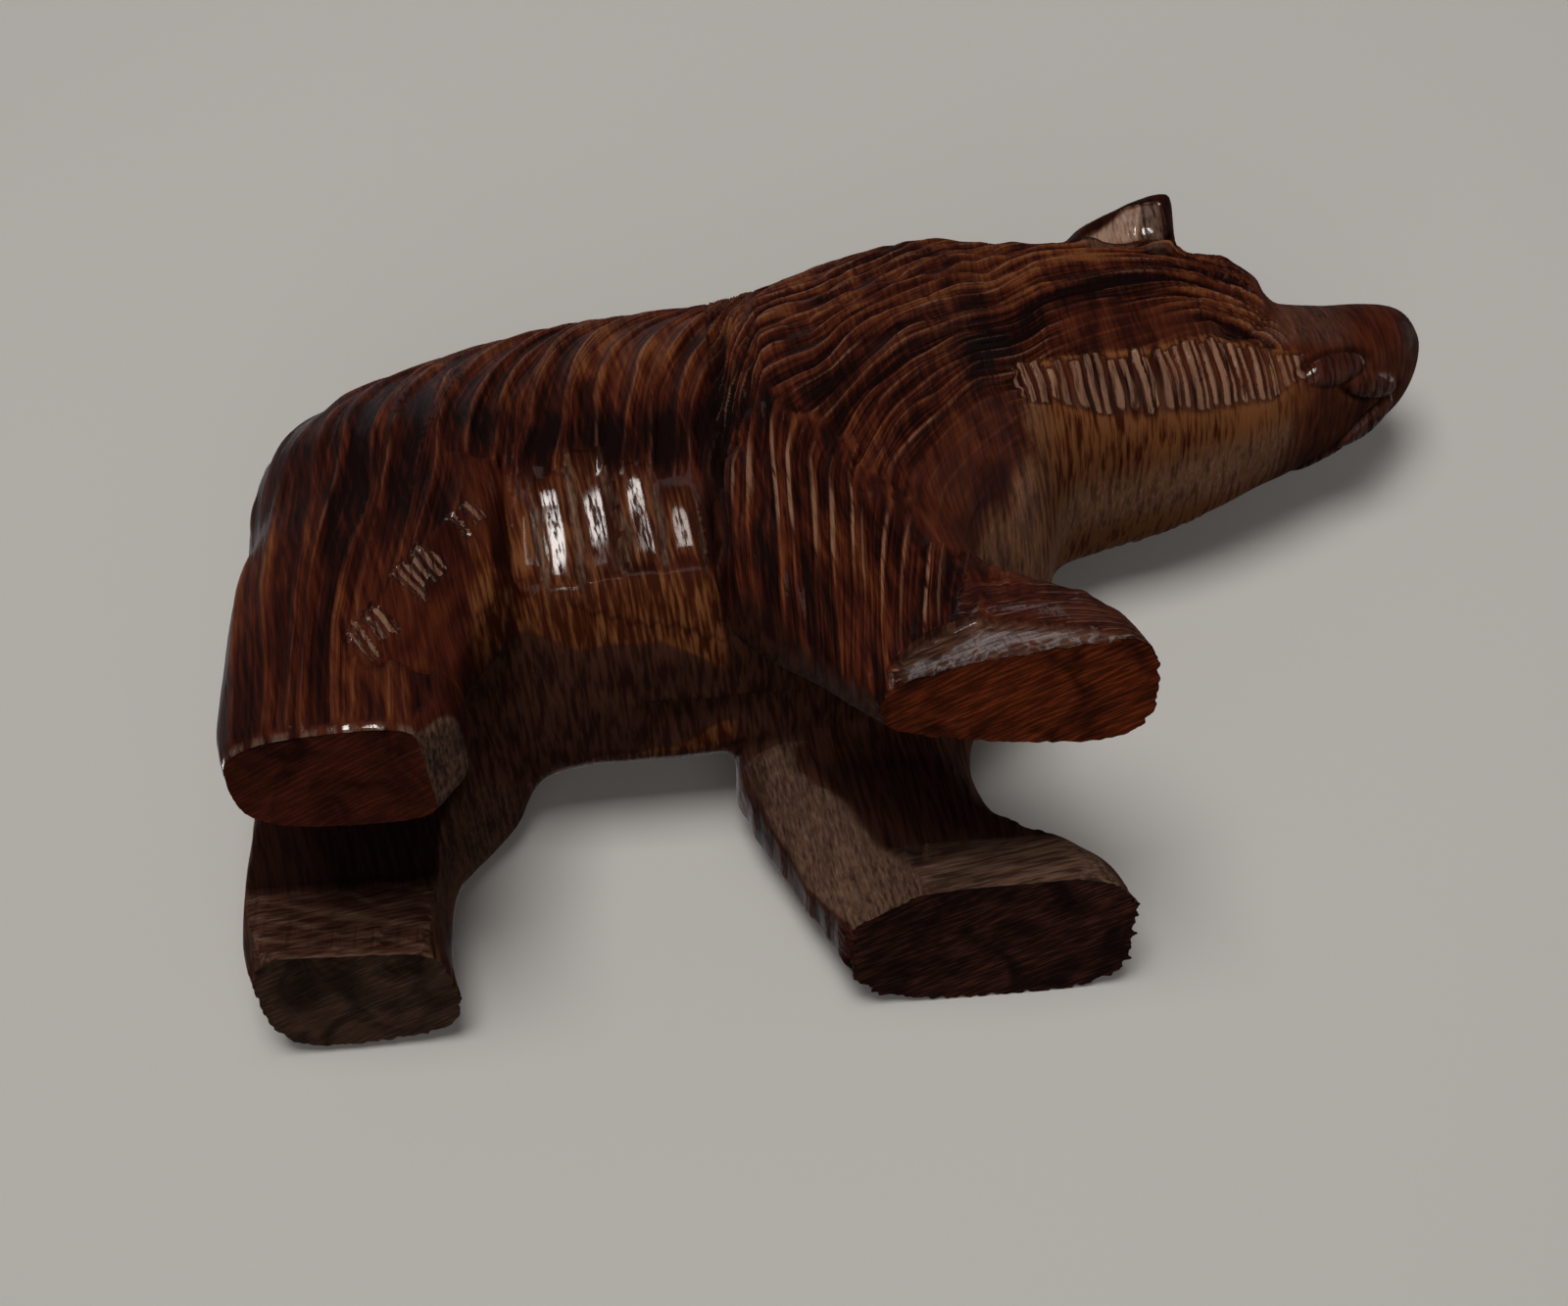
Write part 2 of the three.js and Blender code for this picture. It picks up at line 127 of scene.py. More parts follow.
# %% Two sheets of pale paper
PAPER_COLOUR = (0.44, 0.427, 0.414, 1)
PAPER_ROUGHNESS = 0.9
GROUND_SIZE = 0.7
GROUND_DROP = 0.05
LEANING_SIZE = 0.264
LEAN_GAP = 0.2
LEAN_FOOT = Vector((0, cad_high[1] + LEAN_GAP * MM, 0))
LEAN_NORMAL = Vector((0, -0.978, -0.208)).normalized()

paper = bpy.data.materials.new("pale_paper")
paper.use_nodes = True
nodes, links = paper.node_tree.nodes, paper.node_tree.links
sheet_shader = nodes["Principled BSDF"]
sheet_shader.inputs["Base Color"].default_value = PAPER_COLOUR
sheet_shader.inputs["Roughness"].default_value = PAPER_ROUGHNESS
which_face = nodes.new("ShaderNodeNewGeometry")
clear = nodes.new("ShaderNodeBsdfTransparent")
front_only = nodes.new("ShaderNodeMixShader")
links.new(which_face.outputs["Backfacing"], front_only.inputs["Fac"])
links.new(sheet_shader.outputs["BSDF"], front_only.inputs[1])
links.new(clear.outputs["BSDF"], front_only.inputs[2])
links.new(front_only.outputs["Shader"], nodes["Material Output"].inputs["Surface"])


def paper_sheet(name, size, middle, normal):
    """A flat square of paper facing along normal."""
    bm = bmesh.new()
    bmesh.ops.create_grid(bm, x_segments=1, y_segments=1, size=size / 2)
    mesh = bpy.data.meshes.new(name)
    bm.to_mesh(mesh)
    bm.free()
    mesh.materials.append(paper)
    sheet = bpy.data.objects.new(name, mesh)
    sheet.matrix_world = Matrix.Translation(middle) @ normal.to_track_quat("Z", "Y").to_matrix().to_4x4()
    bpy.context.scene.collection.objects.link(sheet)
    return sheet


behind_bear = (VIEW_TARGET - LEAN_FOOT).dot(LEAN_NORMAL) / towards_camera.dot(LEAN_NORMAL)
lean_middle = VIEW_TARGET - towards_camera * behind_bear
leaning_sheet = paper_sheet("leaning_sheet", LEANING_SIZE, lean_middle, LEAN_NORMAL)
ground_middle = Vector((0, 0, -GROUND_DROP)) * MM
ground_sheet = paper_sheet("ground_sheet", GROUND_SIZE, ground_middle, Vector((0, 0, 1)))
for sheet in (leaning_sheet, ground_sheet):
    for ray in ("visible_diffuse", "visible_glossy", "visible_transmission", "visible_shadow"):
        setattr(sheet, ray, False)
print("sheets:", leaning_sheet.name, ground_sheet.name)

# %% [markdown]
# ## The light
#
# A compact lamp stands square to the bear's right side, as the ceiling lamp did while the bear lay on its
# left: its reflection sits on the scallops, the jaw and the edges of the soles. A broad, cool window above
# the back draws the silver patch on the paw, and weak boxes light the other sides and the soles. The sky is
# an even grey, and dark, so that the lacquer keeps its depth, but the camera sees it as a pale backdrop.

# %% Softboxes and sky
WARM = (1, 0.98, 0.95)
LAMPS = {
    "ceiling_lamp": {
        "way": (-0.06, -0.97, -0.16), "far": 0.6, "size": 0.2, "watts": 3.1, "colour": (1, 0.97, 0.93),
    },
    "window": {
        "way": (-0.22, -0.02, 0.97), "far": 0.6, "size": 0.42, "watts": 1.0, "colour": (0.92, 0.96, 1),
    },
    "box_on_the_left": {
        "way": (-0.3, 0.75, 0.55), "far": 0.8, "size": 0.6, "watts": 3.6, "colour": (1, 1, 1),
    },
    "box_in_front": {"way": (0.93, 0.1, 0.35), "far": 0.7, "size": 0.5, "watts": 1.0, "colour": WARM},
    "box_behind": {"way": (-0.93, 0.15, 0.35), "far": 0.7, "size": 0.5, "watts": 1.0, "colour": WARM},
    "box_below": {"way": (0.05, -0.5, -0.87), "far": 0.8, "size": 0.7, "watts": 1.1, "colour": WARM},
}
SKY = (*WARM, 1)
SKY_STRENGTH = 0.12
BACKDROP_STRENGTH = 0.5

for name, lamp in LAMPS.items():
    way = Vector(lamp["way"]).normalized()
    data = bpy.data.lights.new(name, "AREA")
    data.size = lamp["size"]
    data.energy = lamp["watts"]
    data.color = lamp["colour"]
    softbox = bpy.data.objects.new(name, data)
    turn = way.to_track_quat("Z", "Y").to_matrix().to_4x4()
    softbox.matrix_world = Matrix.Translation(VIEW_TARGET + way * lamp["far"]) @ turn
    bpy.context.scene.collection.objects.link(softbox)
world = bpy.data.worlds.new("sky")
world.use_nodes = True
nodes, links = world.node_tree.nodes, world.node_tree.links
nodes["Background"].inputs["Color"].default_value = SKY
light_path = nodes.new("ShaderNodeLightPath")
seen = nodes.new("ShaderNodeMapRange")
seen.inputs["To Min"].default_value = SKY_STRENGTH
seen.inputs["To Max"].default_value = BACKDROP_STRENGTH
links.new(light_path.outputs["Is Camera Ray"], seen.inputs["Value"])
links.new(seen.outputs["Result"], nodes["Background"].inputs["Strength"])
bpy.context.scene.world = world
print("lamps:", {name: lamp["watts"] for name, lamp in LAMPS.items()})

# %% [markdown]
# ## The blank
#
# A carver starts from one piece of wood. The nine blocks are swollen by a hair to close the glue gaps
# between them, the soles are lengthened so that they can be sawn flat later, and a voxel remesh turns the
# heap into one even skin of small squares.

# %% Melt the blocks into one blank
SWELL = 0.22
WELD = 0.001
FLAT_DOWN = -0.9
SOLE_LEVEL = 0.5
SOLE_SPARE = 3
EVEN_SQUARES = ("REMESH", {"mode": "VOXEL", "voxel_size": 0.66})

heap = bmesh.new()
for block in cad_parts.values():
    heap.from_mesh(block.data)
bmesh.ops.scale(heap, vec=Vector((1, 1, 1)) / MM, verts=heap.verts)
bmesh.ops.translate(heap, vec=-ZERO, verts=heap.verts)
bmesh.ops.remove_doubles(heap, verts=heap.verts, dist=WELD)
heap.normal_update()
for vertex, normal in [(v, v.normal.copy()) for v in heap.verts]:
    vertex.co += normal * SWELL
low_faces = [f for f in heap.faces if f.calc_center_median().z < SOLE_LEVEL]
sole_faces = [f for f in low_faces if f.normal.z < FLAT_DOWN]
spare = bmesh.ops.extrude_face_region(heap, geom=sole_faces)["geom"]
spare_points = [v for v in spare if isinstance(v, bmesh.types.BMVert)]
bmesh.ops.translate(heap, vec=(0, 0, -SOLE_SPARE), verts=spare_points)
bmesh.ops.delete(heap, geom=[f for f in sole_faces if f.is_valid], context="FACES_ONLY")


def shown_mesh(name, mesh, *modifiers):
    """The mesh as it looks after the given modifiers, each a type and its settings."""
    holder = bpy.data.objects.new(name, mesh)
    bpy.context.scene.collection.objects.link(holder)
    for kind, settings in modifiers:
        modifier = holder.modifiers.new(kind, kind)
        for key, value in settings.items():
            setattr(modifier, key, value)
    made = bpy.data.meshes.new_from_object(holder.evaluated_get(bpy.context.evaluated_depsgraph_get()))
    bpy.data.objects.remove(holder)
    return made


heap_mesh = bpy.data.meshes.new("heap")
heap.to_mesh(heap_mesh)
heap.free()
blank = shown_mesh("blank", heap_mesh, EVEN_SQUARES)
print("blank:", len(blank.vertices), "points,", len(blank.polygons), "squares")

# %% [markdown]
# ## Soften the steps
#
# The blocks meet in hard steps that no carving knife would leave. Each point moves towards the middle of
# its neighbours, then a little back again, which melts steps without shrinking the bear. Ears and tail are
# thin, so they are only touched.

# %% Tools for smoothing
def mesh_points(mesh):
    """Vertex positions as rows of x, y, z."""
    flat = np.empty(len(mesh.vertices) * 3, np.float32)
    mesh.vertices.foreach_get("co", flat)
    return flat.reshape(-1, 3).astype(float)


def set_points(mesh, points):
    """Move the vertices of a mesh."""
    mesh.vertices.foreach_set("co", points.astype(np.float32).ravel())
    mesh.update()


def smoothed(mesh, points, steps, share):
    """The points after some rounds of moving each one to, or from, its neighbours' mean."""
    edges = np.empty(len(mesh.edges) * 2, np.int32)
    mesh.edges.foreach_get("vertices", edges)
    starts, stops = edges.reshape(-1, 2).T
    ends = np.concatenate([starts, stops])
    others = np.concatenate([stops, starts])
    count = np.bincount(ends, minlength=len(points))[:, None]
    for step in steps:
        total = [np.bincount(ends, points[others, axis], len(points)) for axis in range(3)]
        points = points + step * share[:, None] * (np.stack(total, 1) / count - points)
    return points


def rise(value, start, end):
    """0 up to start, 1 from end on, and a smooth step between them."""
    t = np.clip((value - start) / (end - start), 0, 1)
    return t * t * (3 - 2 * t)


def between(value, start, full, past, end):
    """A smooth plateau: it rises from start to full and falls from past to end."""
    return rise(value, start, full) * (1 - rise(value, past, end))


print("points of the blank:", len(mesh_points(blank)))

# %% Smooth the blank
SMOOTH_ROUNDS = 22
CHEST_ROUNDS = 220
HAUNCH_ROUNDS = 70
MUZZLE_ROUNDS = 30
EVEN_ROUNDS = 5
PULL, PUSH = 0.55, -0.58
THIN_SHARE = 0.12
EAR_REAR, EAR_FRONT = 34, 51
EAR_LOW, EAR_INSIDE = 73.5, 7.5
TAIL_FRONT = -65.5
SPARE_TOP = 0.2


def smoothing_share(points):
    """How far smoothing moves a point: hardly on the ears, the tail and the spare under the soles."""
    x, y, z = points.T
    at_ear = (x > EAR_REAR) & (x < EAR_FRONT) & (z > EAR_LOW) & (np.abs(y) > EAR_INSIDE)
    return np.where(at_ear | (x < TAIL_FRONT) | (z < SPARE_TOP), THIN_SHARE, 1.0)


points = mesh_points(blank)
points = smoothed(blank, points, [PULL, PUSH] * SMOOTH_ROUNDS, smoothing_share(points))
x, y, z = points.T
chest_step = between(x, 8, 17, 36, 46) * between(z, 15, 24, 52, 66)
points = smoothed(blank, points, [PULL] * CHEST_ROUNDS, chest_step)
haunch_step = between(-x, 22, 28, 62, 66) * between(z, 20, 27, 56, 66)
points = smoothed(blank, points, [PULL] * HAUNCH_ROUNDS, haunch_step)
muzzle_step = rise(x, 57, 61) * rise(z, 40, 44)
points = smoothed(blank, points, [PULL] * MUZZLE_ROUNDS, muzzle_step)
print("smoothed blank:", points.min(0).round(1), points.max(0).round(1))

# %% [markdown]
# ## Pare the flat places
#
# Before the coat was cut, broad chisel cuts gave the bear its facets: the flank above the belly, the hollow
# in front of the thigh, the insides of the left legs and the paws. A plane takes off whatever stands out of
# it, where a mask allows. The blank is pared, remeshed so that its squares are even again, made finer, and
# pared once more for crisp edges.

# %% Planes and lines of the facets
FORE_KNEE = 8
HIND_KNEE = 12
TOE_FLARE = 3
FLANK_PLANE = (-22, 18.4, 26.9), (0, 0.94, -0.342)
THIGH_PLANE = (-48.2, 31.2, 11), (0.596, 0.76, -0.247)
LOW_HEEL_PLANE = (8.7, 10.7, 0), (-0.62, -0.78, 0)
HIGH_HEEL_PLANE = (0.2, 11.5, 14.7), (-0.39, -0.65, -0.65)
FOREARM_PLANE = (17, 32.9, 8.5), (0, 0.997, 0.08)
TOE_PLANE = (-41.6, 24, 0), (0.72, 0, -0.69)
FORE_INSIDE = [(0, 9.8), (FORE_KNEE, 12.3), (21, 10.5)]
HIND_INSIDE = [(0, 11.8), (HIND_KNEE, 15.6), (22, 10)]
HIND_SPLAY = 0.1
HIND_TOE = -68.7
SOLE_EDGE = [(7, 32.9), (16, 35.7), (25, 36.9), (31, 37.2)]
SILVER_SLOPE = 0.47
SILVER_SPAN = (7.0, 8.2, 28.5, 30.5)
SILVER_TOP = [(7, 3.2), (9, 4.6), (13, 6.4), (16, 7.4), (17.5, 5.9), (22, 4.2), (28.6, 1.6), (31, 0.4)]
print("knees at", FORE_KNEE, "and", HIND_KNEE, "mm")

# %% Pare the blank
def profile(value, stations):
    """The height at a place, on a line drawn through stations of (place, height)."""
    places, heights = zip(*stations)
    return np.interp(value, places, heights)


def pared(points, corner, normal, where):
    """The points pressed back onto a plane that they stand out of. Its y runs outwards from the middle."""
    normal = np.array(normal) / np.linalg.norm(normal)
    outwards = points * [1, 0, 1]
    outwards[:, 1] = np.abs(points[:, 1])
    beyond = np.maximum(0, (outwards - corner) @ normal) * where
    outwards = outwards - beyond[:, None] * normal
    outwards[:, 1] *= np.sign(points[:, 1])
    return outwards


def pared_inside(points, insides, where):
    """The points moved outwards to a wanted distance from the middle."""
    missing = insides - np.abs(points[:, 1])
    moved = points.copy()
    moved[:, 1] += np.sign(points[:, 1]) * np.maximum(0, missing) * where
    return moved


def pared_outside(points, outsides, where):
    """The points pressed inwards to a wanted distance from the middle."""
    extra = np.abs(points[:, 1]) - outsides
    moved = points.copy()
    moved[:, 1] -= np.sign(points[:, 1]) * np.maximum(0, extra) * where
    return moved


def silver_place(points):
    """1 on the bright facet of the right fore paw."""
    x, y, z = points.T
    return (y < -25) * between(x, *SILVER_SPAN) * (1 - rise(z - profile(x, SILVER_TOP), -0.35, 0.35))


def faceted(points):
    """The blank with every broad chisel cut made."""
    x, y, z = points.T
    right, left = y < 0, y > 0
    flank = between(x, -35, -32, -12.5, -10.5) * between(z, 25, 26.5, 40, 43)
    points = pared(points, *FLANK_PLANE, flank)
    thigh_hollow = right * (x < -27) * between(z, 8, 12, 34, 39)
    points = pared(points, *THIGH_PLANE, thigh_hollow)
    fore_inside = left * between(x, -4, 0, 40, 45) * (1 - rise(z, 19, 23)) * (y < 22)
    points = pared_inside(points, profile(z, FORE_INSIDE), fore_inside)
    at_heel = left * between(x, -22, -20, 18, 22) * (y < 26)
    points = pared(points, *LOW_HEEL_PLANE, at_heel * (1 - rise(z, 7, 9.5)))
    points = pared(points, *HIGH_HEEL_PLANE, at_heel * between(z, 7, 9.5, 20, 24))
    hind_inside = left * (x < -30) * (1 - rise(z, 19, 24)) * (y < 24)
    splay = HIND_SPLAY * (x - HIND_TOE) * (1 - rise(z, 4, HIND_KNEE))
    points = pared_inside(points, profile(z, HIND_INSIDE) + splay, hind_inside)
    forearm = right * between(x, -14, -10, 30, 34) * between(z, 7.5, 9, 19, 23)
    points = pared(points, *FOREARM_PLANE, forearm)
    paw_side = profile(x, SOLE_EDGE) - SILVER_SLOPE * np.maximum(0, z)
    points = pared_outside(points, paw_side, silver_place(points))
    toe_corner = right * (x < -30) * (1 - rise(z, 5, 7))
    return pared(points, *TOE_PLANE, toe_corner)


x, y, z = points.T
at_toe = rise(x, -46, -42) * (x < -28) * (y < -12) * between(z, 0.2, 4.5, 7, 14)
set_points(blank, faceted(points + np.outer(at_toe, [TOE_FLARE, 0, 0])))
even = shown_mesh("even", blank, EVEN_SQUARES)
points = mesh_points(even)
points = smoothed(even, points, [PULL, PUSH] * EVEN_ROUNDS, smoothing_share(points))
set_points(even, points)
skin = shown_mesh("skin", even, ("SUBSURF", {"levels": 1, "render_levels": 1}))
points = faceted(mesh_points(skin))
set_points(skin, points)
print("skin:", len(skin.vertices), "points", points.min(0).round(1), points.max(0).round(1))

# %% [markdown]
# ## The tape
#
# Cuts are laid out on the bear, not in space. "aside" counts outwards from the middle, so one rule serves
# both flanks, and "around" is the distance from the spine down the flank, as a tape laid round the body
# would read it.

# %% Measure every point of the skin
BODY_AXIS = [(4, 44), (50, 63)]
TAPE_RADIUS = 30

normals = np.empty(len(skin.vertices) * 3, np.float32)
skin.vertex_normals.foreach_get("vector", normals)
normals = normals.reshape(-1, 3).astype(float)
x, y, z = points.T
aside = np.abs(y)
outward = normals[:, 1] * np.sign(y)
upward = normals[:, 2]
forward = normals[:, 0]
side_on = rise(outward, 0.3, 0.6)
partly_side_on = rise(outward, 0.2, 0.5)
inside_on = rise(-outward, 0.4, 0.7)
around = TAPE_RADIUS * np.arctan2(aside, z - profile(x, BODY_AXIS))


def ripple(size, seed, spots=points):
    """A smooth random field, about -1 to 1, with features of the given size in mm."""
    random = np.random.default_rng(seed)
    total = np.zeros(len(spots))
    waves = 10
    for _ in range(waves):
        way = random.normal(size=3)
        way *= 2 * np.pi / (size * random.uniform(0.7, 1.6) * np.linalg.norm(way))
        total += np.sin(spots @ way + random.uniform(0, 2 * np.pi))
    return total / math.sqrt(waves / 2) * 0.7


KEY_STEP, SEED_STEP, SPREAD = 12.9898, 78.233, 43758.5453


def chance(key, seed):
    """A fixed random number from 0 to 1 for each whole number."""
    spread = np.sin(key * KEY_STEP + seed * SEED_STEP) * SPREAD
    return spread - np.floor(spread)


print("longest tape:", round(float(around.max())), "mm")

# %% [markdown]
# ## Gouge cuts
#
# A gouge pushed through wood leaves a round hollow, and where two hollows meet, a crest stays. No two cuts
# are alike: crests wander, run together and fade out where a later cut took them away.

# %% Rows of hollows
def gouge_rows(across, along, pitch, length, seed, uneven=0.27):
    """Rows of cuts about "pitch" wide, whose crests wander and fade over about "length".

    Gives their depth, 0 to 1, a count of the rows that is whole on the crests, and how strong the crests are.
    """
    place = across / pitch

    def edge(row):
        swing = np.sin(2 * np.pi * (along / (length * (0.8 + chance(row, seed + 1))) + chance(row, seed + 2)))
        return row + uneven * (2 * chance(row, seed) - 1) + 0.3 * uneven * swing

    def strength(row):
        swing = np.sin(2 * np.pi * (along / (length * (0.5 + chance(row, seed + 3))) + chance(row, seed + 4)))
        return rise(swing + 2 * chance(row, seed + 5), -0.3, 1.2)

    row = np.floor(place)
    row = np.where(place < edge(row), row - 1, np.where(place >= edge(row + 1), row + 1, row))
    start, end = edge(row), edge(row + 1)
    width = np.maximum(end - start, 0.05)
    u = np.clip((place - start) / width, 0, 1)
    crests = strength(row) * (1 - u) + strength(row + 1) * u
    hollow = rise(np.minimum(u, 1 - u) * width, 0.07, 0.34) * (0.6 + 0.4 * (1 - (2 * u - 1) ** 2))
    depth = hollow + (1 - hollow) * 0.75 * (1 - crests)
    return depth * np.clip(width, 0.45, 1.25), row + u, np.where(u < 0.5, strength(row), strength(row + 1))


wobble = ripple(26, 1)
quiver = ripple(6, 2)
print("wobble from", wobble.min().round(2), "to", wobble.max().round(2))

# %% [markdown]
# ## The coat
#
# Three sets of rows make the coat. Behind the crease the cuts leave the spine slanting back and then drop
# straight down the flank. On the shoulder and the forelegs they stand upright, leaning forwards with the
# leg. Above a line across the shoulder they turn along the neck: they climb from the shoulder, lie level on
# the neck and bend down again in front of the eye.

# %% Lay out the coat
SWEEP_BACK = 30
SWEEP_REACH = 18
LEG_LEAN = 2.5
LEAN_FROM = 26
NECK_CLIMB = 0.588
CHEEK_AROUND = 62
BROW_X = 51
RUMP_CUTS = {"pitch": 2.6, "length": 22, "seed": 11, "uneven": 0.4}
LEG_CUTS = {"pitch": 1.95, "length": 30, "seed": 21, "uneven": 0.33}
NECK_CUTS = {"pitch": 1.6, "length": 20, "seed": 22, "uneven": 0.36}
RUMP_DEPTH, LEG_DEPTH, NECK_DEPTH = 0.7, 1.1, 0.75
LEG_TOP = [(-12, 58), (-3.6, 50), (2, 57), (5.3, 60), (10, 65), (20, 75), (30, 87), (38, 100), (80, 172)]
LEG_ROWS_END = [(-6, 22), (0, 12), (8, 3)]

sweep = SWEEP_BACK * (1 - np.exp(-around / SWEEP_REACH))
behind = x + sweep + 0.8 * wobble + 0.06 * quiver + 0.3 * ripple(15, 3)
rump_run = around + 0.5 * x
rump_coat, rump_rows, rump_crest = gouge_rows(behind, rump_run, **RUMP_CUTS)


def soft_ramp(value, softness):
    """0 for negative values, the value itself for positive ones, with a soft bend between."""
    return softness * np.logaddexp(0, value / softness)


above_leg = profile(x, LEG_TOP) - around
over_cheek = NECK_CLIMB * np.maximum(0, CHEEK_AROUND - around)
round_brow = np.hypot(over_cheek, np.maximum(0, x - BROW_X)) - over_cheek
lean = LEG_LEAN * np.clip((LEAN_FROM - z) / LEAN_FROM, 0, 1) * np.clip((x + 3) / 12, 0, 1) * (x < 40)
front = x + lean - NECK_CLIMB * soft_ramp(above_leg, 3) - round_brow + 0.15 * wobble + 0.03 * quiver
front_run = np.where(above_leg < 0, z, z + x)
leg_coat, leg_rows, leg_crest = gouge_rows(front + 0.12 * ripple(14, 4), front_run, **LEG_CUTS)
neck_coat, neck_rows, neck_crest = gouge_rows(front + 0.1 * ripple(11, 5), front_run, **NECK_CUTS)
rows_end = profile(x, LEG_ROWS_END)
crest_end = rows_end + 1 + 4 * chance(np.floor(leg_rows + 0.5), 24)
leg_crest = (0.45 + 0.55 * leg_crest) * rise(z, crest_end, crest_end + 6)
leg_depth = LEG_DEPTH * (0.35 + 0.65 * rise(z, rows_end + 1, rows_end + 7))

to_meeting = above_leg + 5 * (chance(np.floor(leg_rows), 7) - 0.5) + 0.5 * quiver
on_leg = to_meeting < 0
meeting = np.exp(-((to_meeting / 1.5) ** 2))
behind_crease = 1 - rise(x, -10.2, -9.2)
front_coat = np.where(on_leg, leg_depth * leg_coat, NECK_DEPTH * neck_coat) * (1 - 0.7 * meeting)
over_brow = between(x, 45, 48, 57.5, 59) * rise(z, 59, 62)
front_coat = front_coat * (1 + 0.6 * over_brow)
rump_depth = RUMP_DEPTH * behind_crease * (1 - 0.6 * rise(-x, 50, 60))
coat = rump_depth * rump_coat + (1 - behind_crease) * front_coat
hollow = np.where(behind_crease > 0.5, rump_coat, np.where(on_leg, leg_coat, neck_coat))
print("coat depth, mean and most:", coat.mean().round(2), coat.max().round(2), "mm")

# %% [markdown]
# ## Where the coat stops
#
# The carver left the underside, the insides of the legs, the throat, the muzzle and the feet smooth. A mask
# says how much coat each point carries.

# %% Smooth places
JAW_TOP = [(25, 51.5), (31.5, 53.7), (42, 55.2), (47, 57.2), (50, 59), (55.5, 58.8), (63, 58.4)]
JAW_FOOT = [(25, 46), (30, 48.3), (36, 48.4), (41, 48.7), (46.4, 49.5), (50, 50.3), (57, 52.6), (61, 55)]
THROAT_REAR = [(24, 18), (27.5, 19.3), (33, 22.6), (41.5, 26.5), (47, 26), (53, 25.5)]
PAW_TOP = [(5, 1.5), (7, 3), (9, 4.6), (13, 6.4), (16, 7.6), (17.5, 9.5), (22, 8.8), (30, 8)]
CHEST_REAR = [(22, 11), (30, 11), (40, 17), (48, 23)]

bare_heel = (y > 0) & (outward < -0.1)
rear_faces = np.where(x < -40, -forward, np.where((x > -14) & (z < 26) & ~bare_heel, -0.5 * forward, 0))
facing_out = rise(np.maximum.reduce([outward, upward, rear_faces]), 0.12, 0.45)
under = rise(-upward, 0.45, 0.7)
barrel = between(x, -34, -31, -12.5, -10.5)
below_scallops = barrel * (1 - rise(z + 1.5 * wobble, 36.5, 39.5))
thigh_front = (x < -25) * (z < 40) * rise(forward, 0.35, 0.55)
above_jaw = z - profile(x, JAW_TOP)
over_jaw_foot = z - profile(x, JAW_FOOT)
below_jaw = rise(x - profile(z, THROAT_REAR) + 0.4 * quiver, -1.2, 1.2)
below_jaw = below_jaw * (1 - rise(above_jaw, -0.4, 0.4)) * rise(z, 19, 23)
muzzle = rise(x + 0.3 * (z - 62), 58.5, 60)
fore_foot = rise(x, 5.5, 7.5) * (1 - rise(z - profile(x, PAW_TOP), -0.6, 0.8)) * (x < 45)
hind_foot = (x < -30) * (1 - rise(z, 0.8, 1.8))
on_ear = between(x, 33.5, 34.5, 49, 50) * rise(z - 75 + 0.55 * (aside - 12), 1.5, 2.5) * rise(aside, 7, 9)
chest = 0.8 * rise(x - profile(z, CHEST_REAR), -2, 2) * (1 - rise(z, 44, 50)) * (z > 18)
toes_front = np.where(y > 0, 0.85, 0.5) * rise(x, 14, 18) * (1 - rise(z, 19, 24))
left_shin = 0.65 * (y > 0) * (x > -14) * (x < 12) * (1 - rise(z, 18, 24)) * rise(-forward, 0.0, 0.3)
cheek = 0.75 * between(x, 29, 34, 50, 54) * rise(above_jaw, -0.5, 0.5) * (1 - rise(z, 59.5, 63))
smooth_places = [
    toes_front, below_scallops, thigh_front, below_jaw, muzzle, fore_foot, hind_foot, under, on_ear, chest,
    cheek, left_shin,
]
fur = facing_out * (1 - np.maximum.reduce(smooth_places))
print("share of the skin that is furred:", fur.mean().round(2))

# %% [markdown]
# ## Cuts on the body
#
# Some cuts are not coat: the deep crease behind the shoulder, the broad scallops on the flank, and the
# nicks on the ridge of the thigh. Each gets its own height in millimetres, negative for wood taken away.

# %% Crease and scallops
CREASE_LINE = [(17, -9.2), (36, -10.2), (71, -7.2)]
CREASE_DEPTH = 1.1
SCALLOP_DEPTH = 0.8
SCALLOP_HALF = 2.3
SCALLOPS = [
    {"middle": -28.4, "low": 27.2, "high": 40, "gloss": 1.0, "broad": 0.45},
    {"middle": -23.9, "low": 28.4, "high": 43, "gloss": 0.8, "broad": 0.8},
    {"middle": -18.9, "low": 29.2, "high": 41, "gloss": 0.8, "broad": 0.65},
    {"middle": -14.4, "low": 29.6, "high": 37, "gloss": 0.4, "broad": 0.6},
    {"middle": -32.2, "low": 28.5, "high": 38, "gloss": 0.12, "broad": 0.7},
]

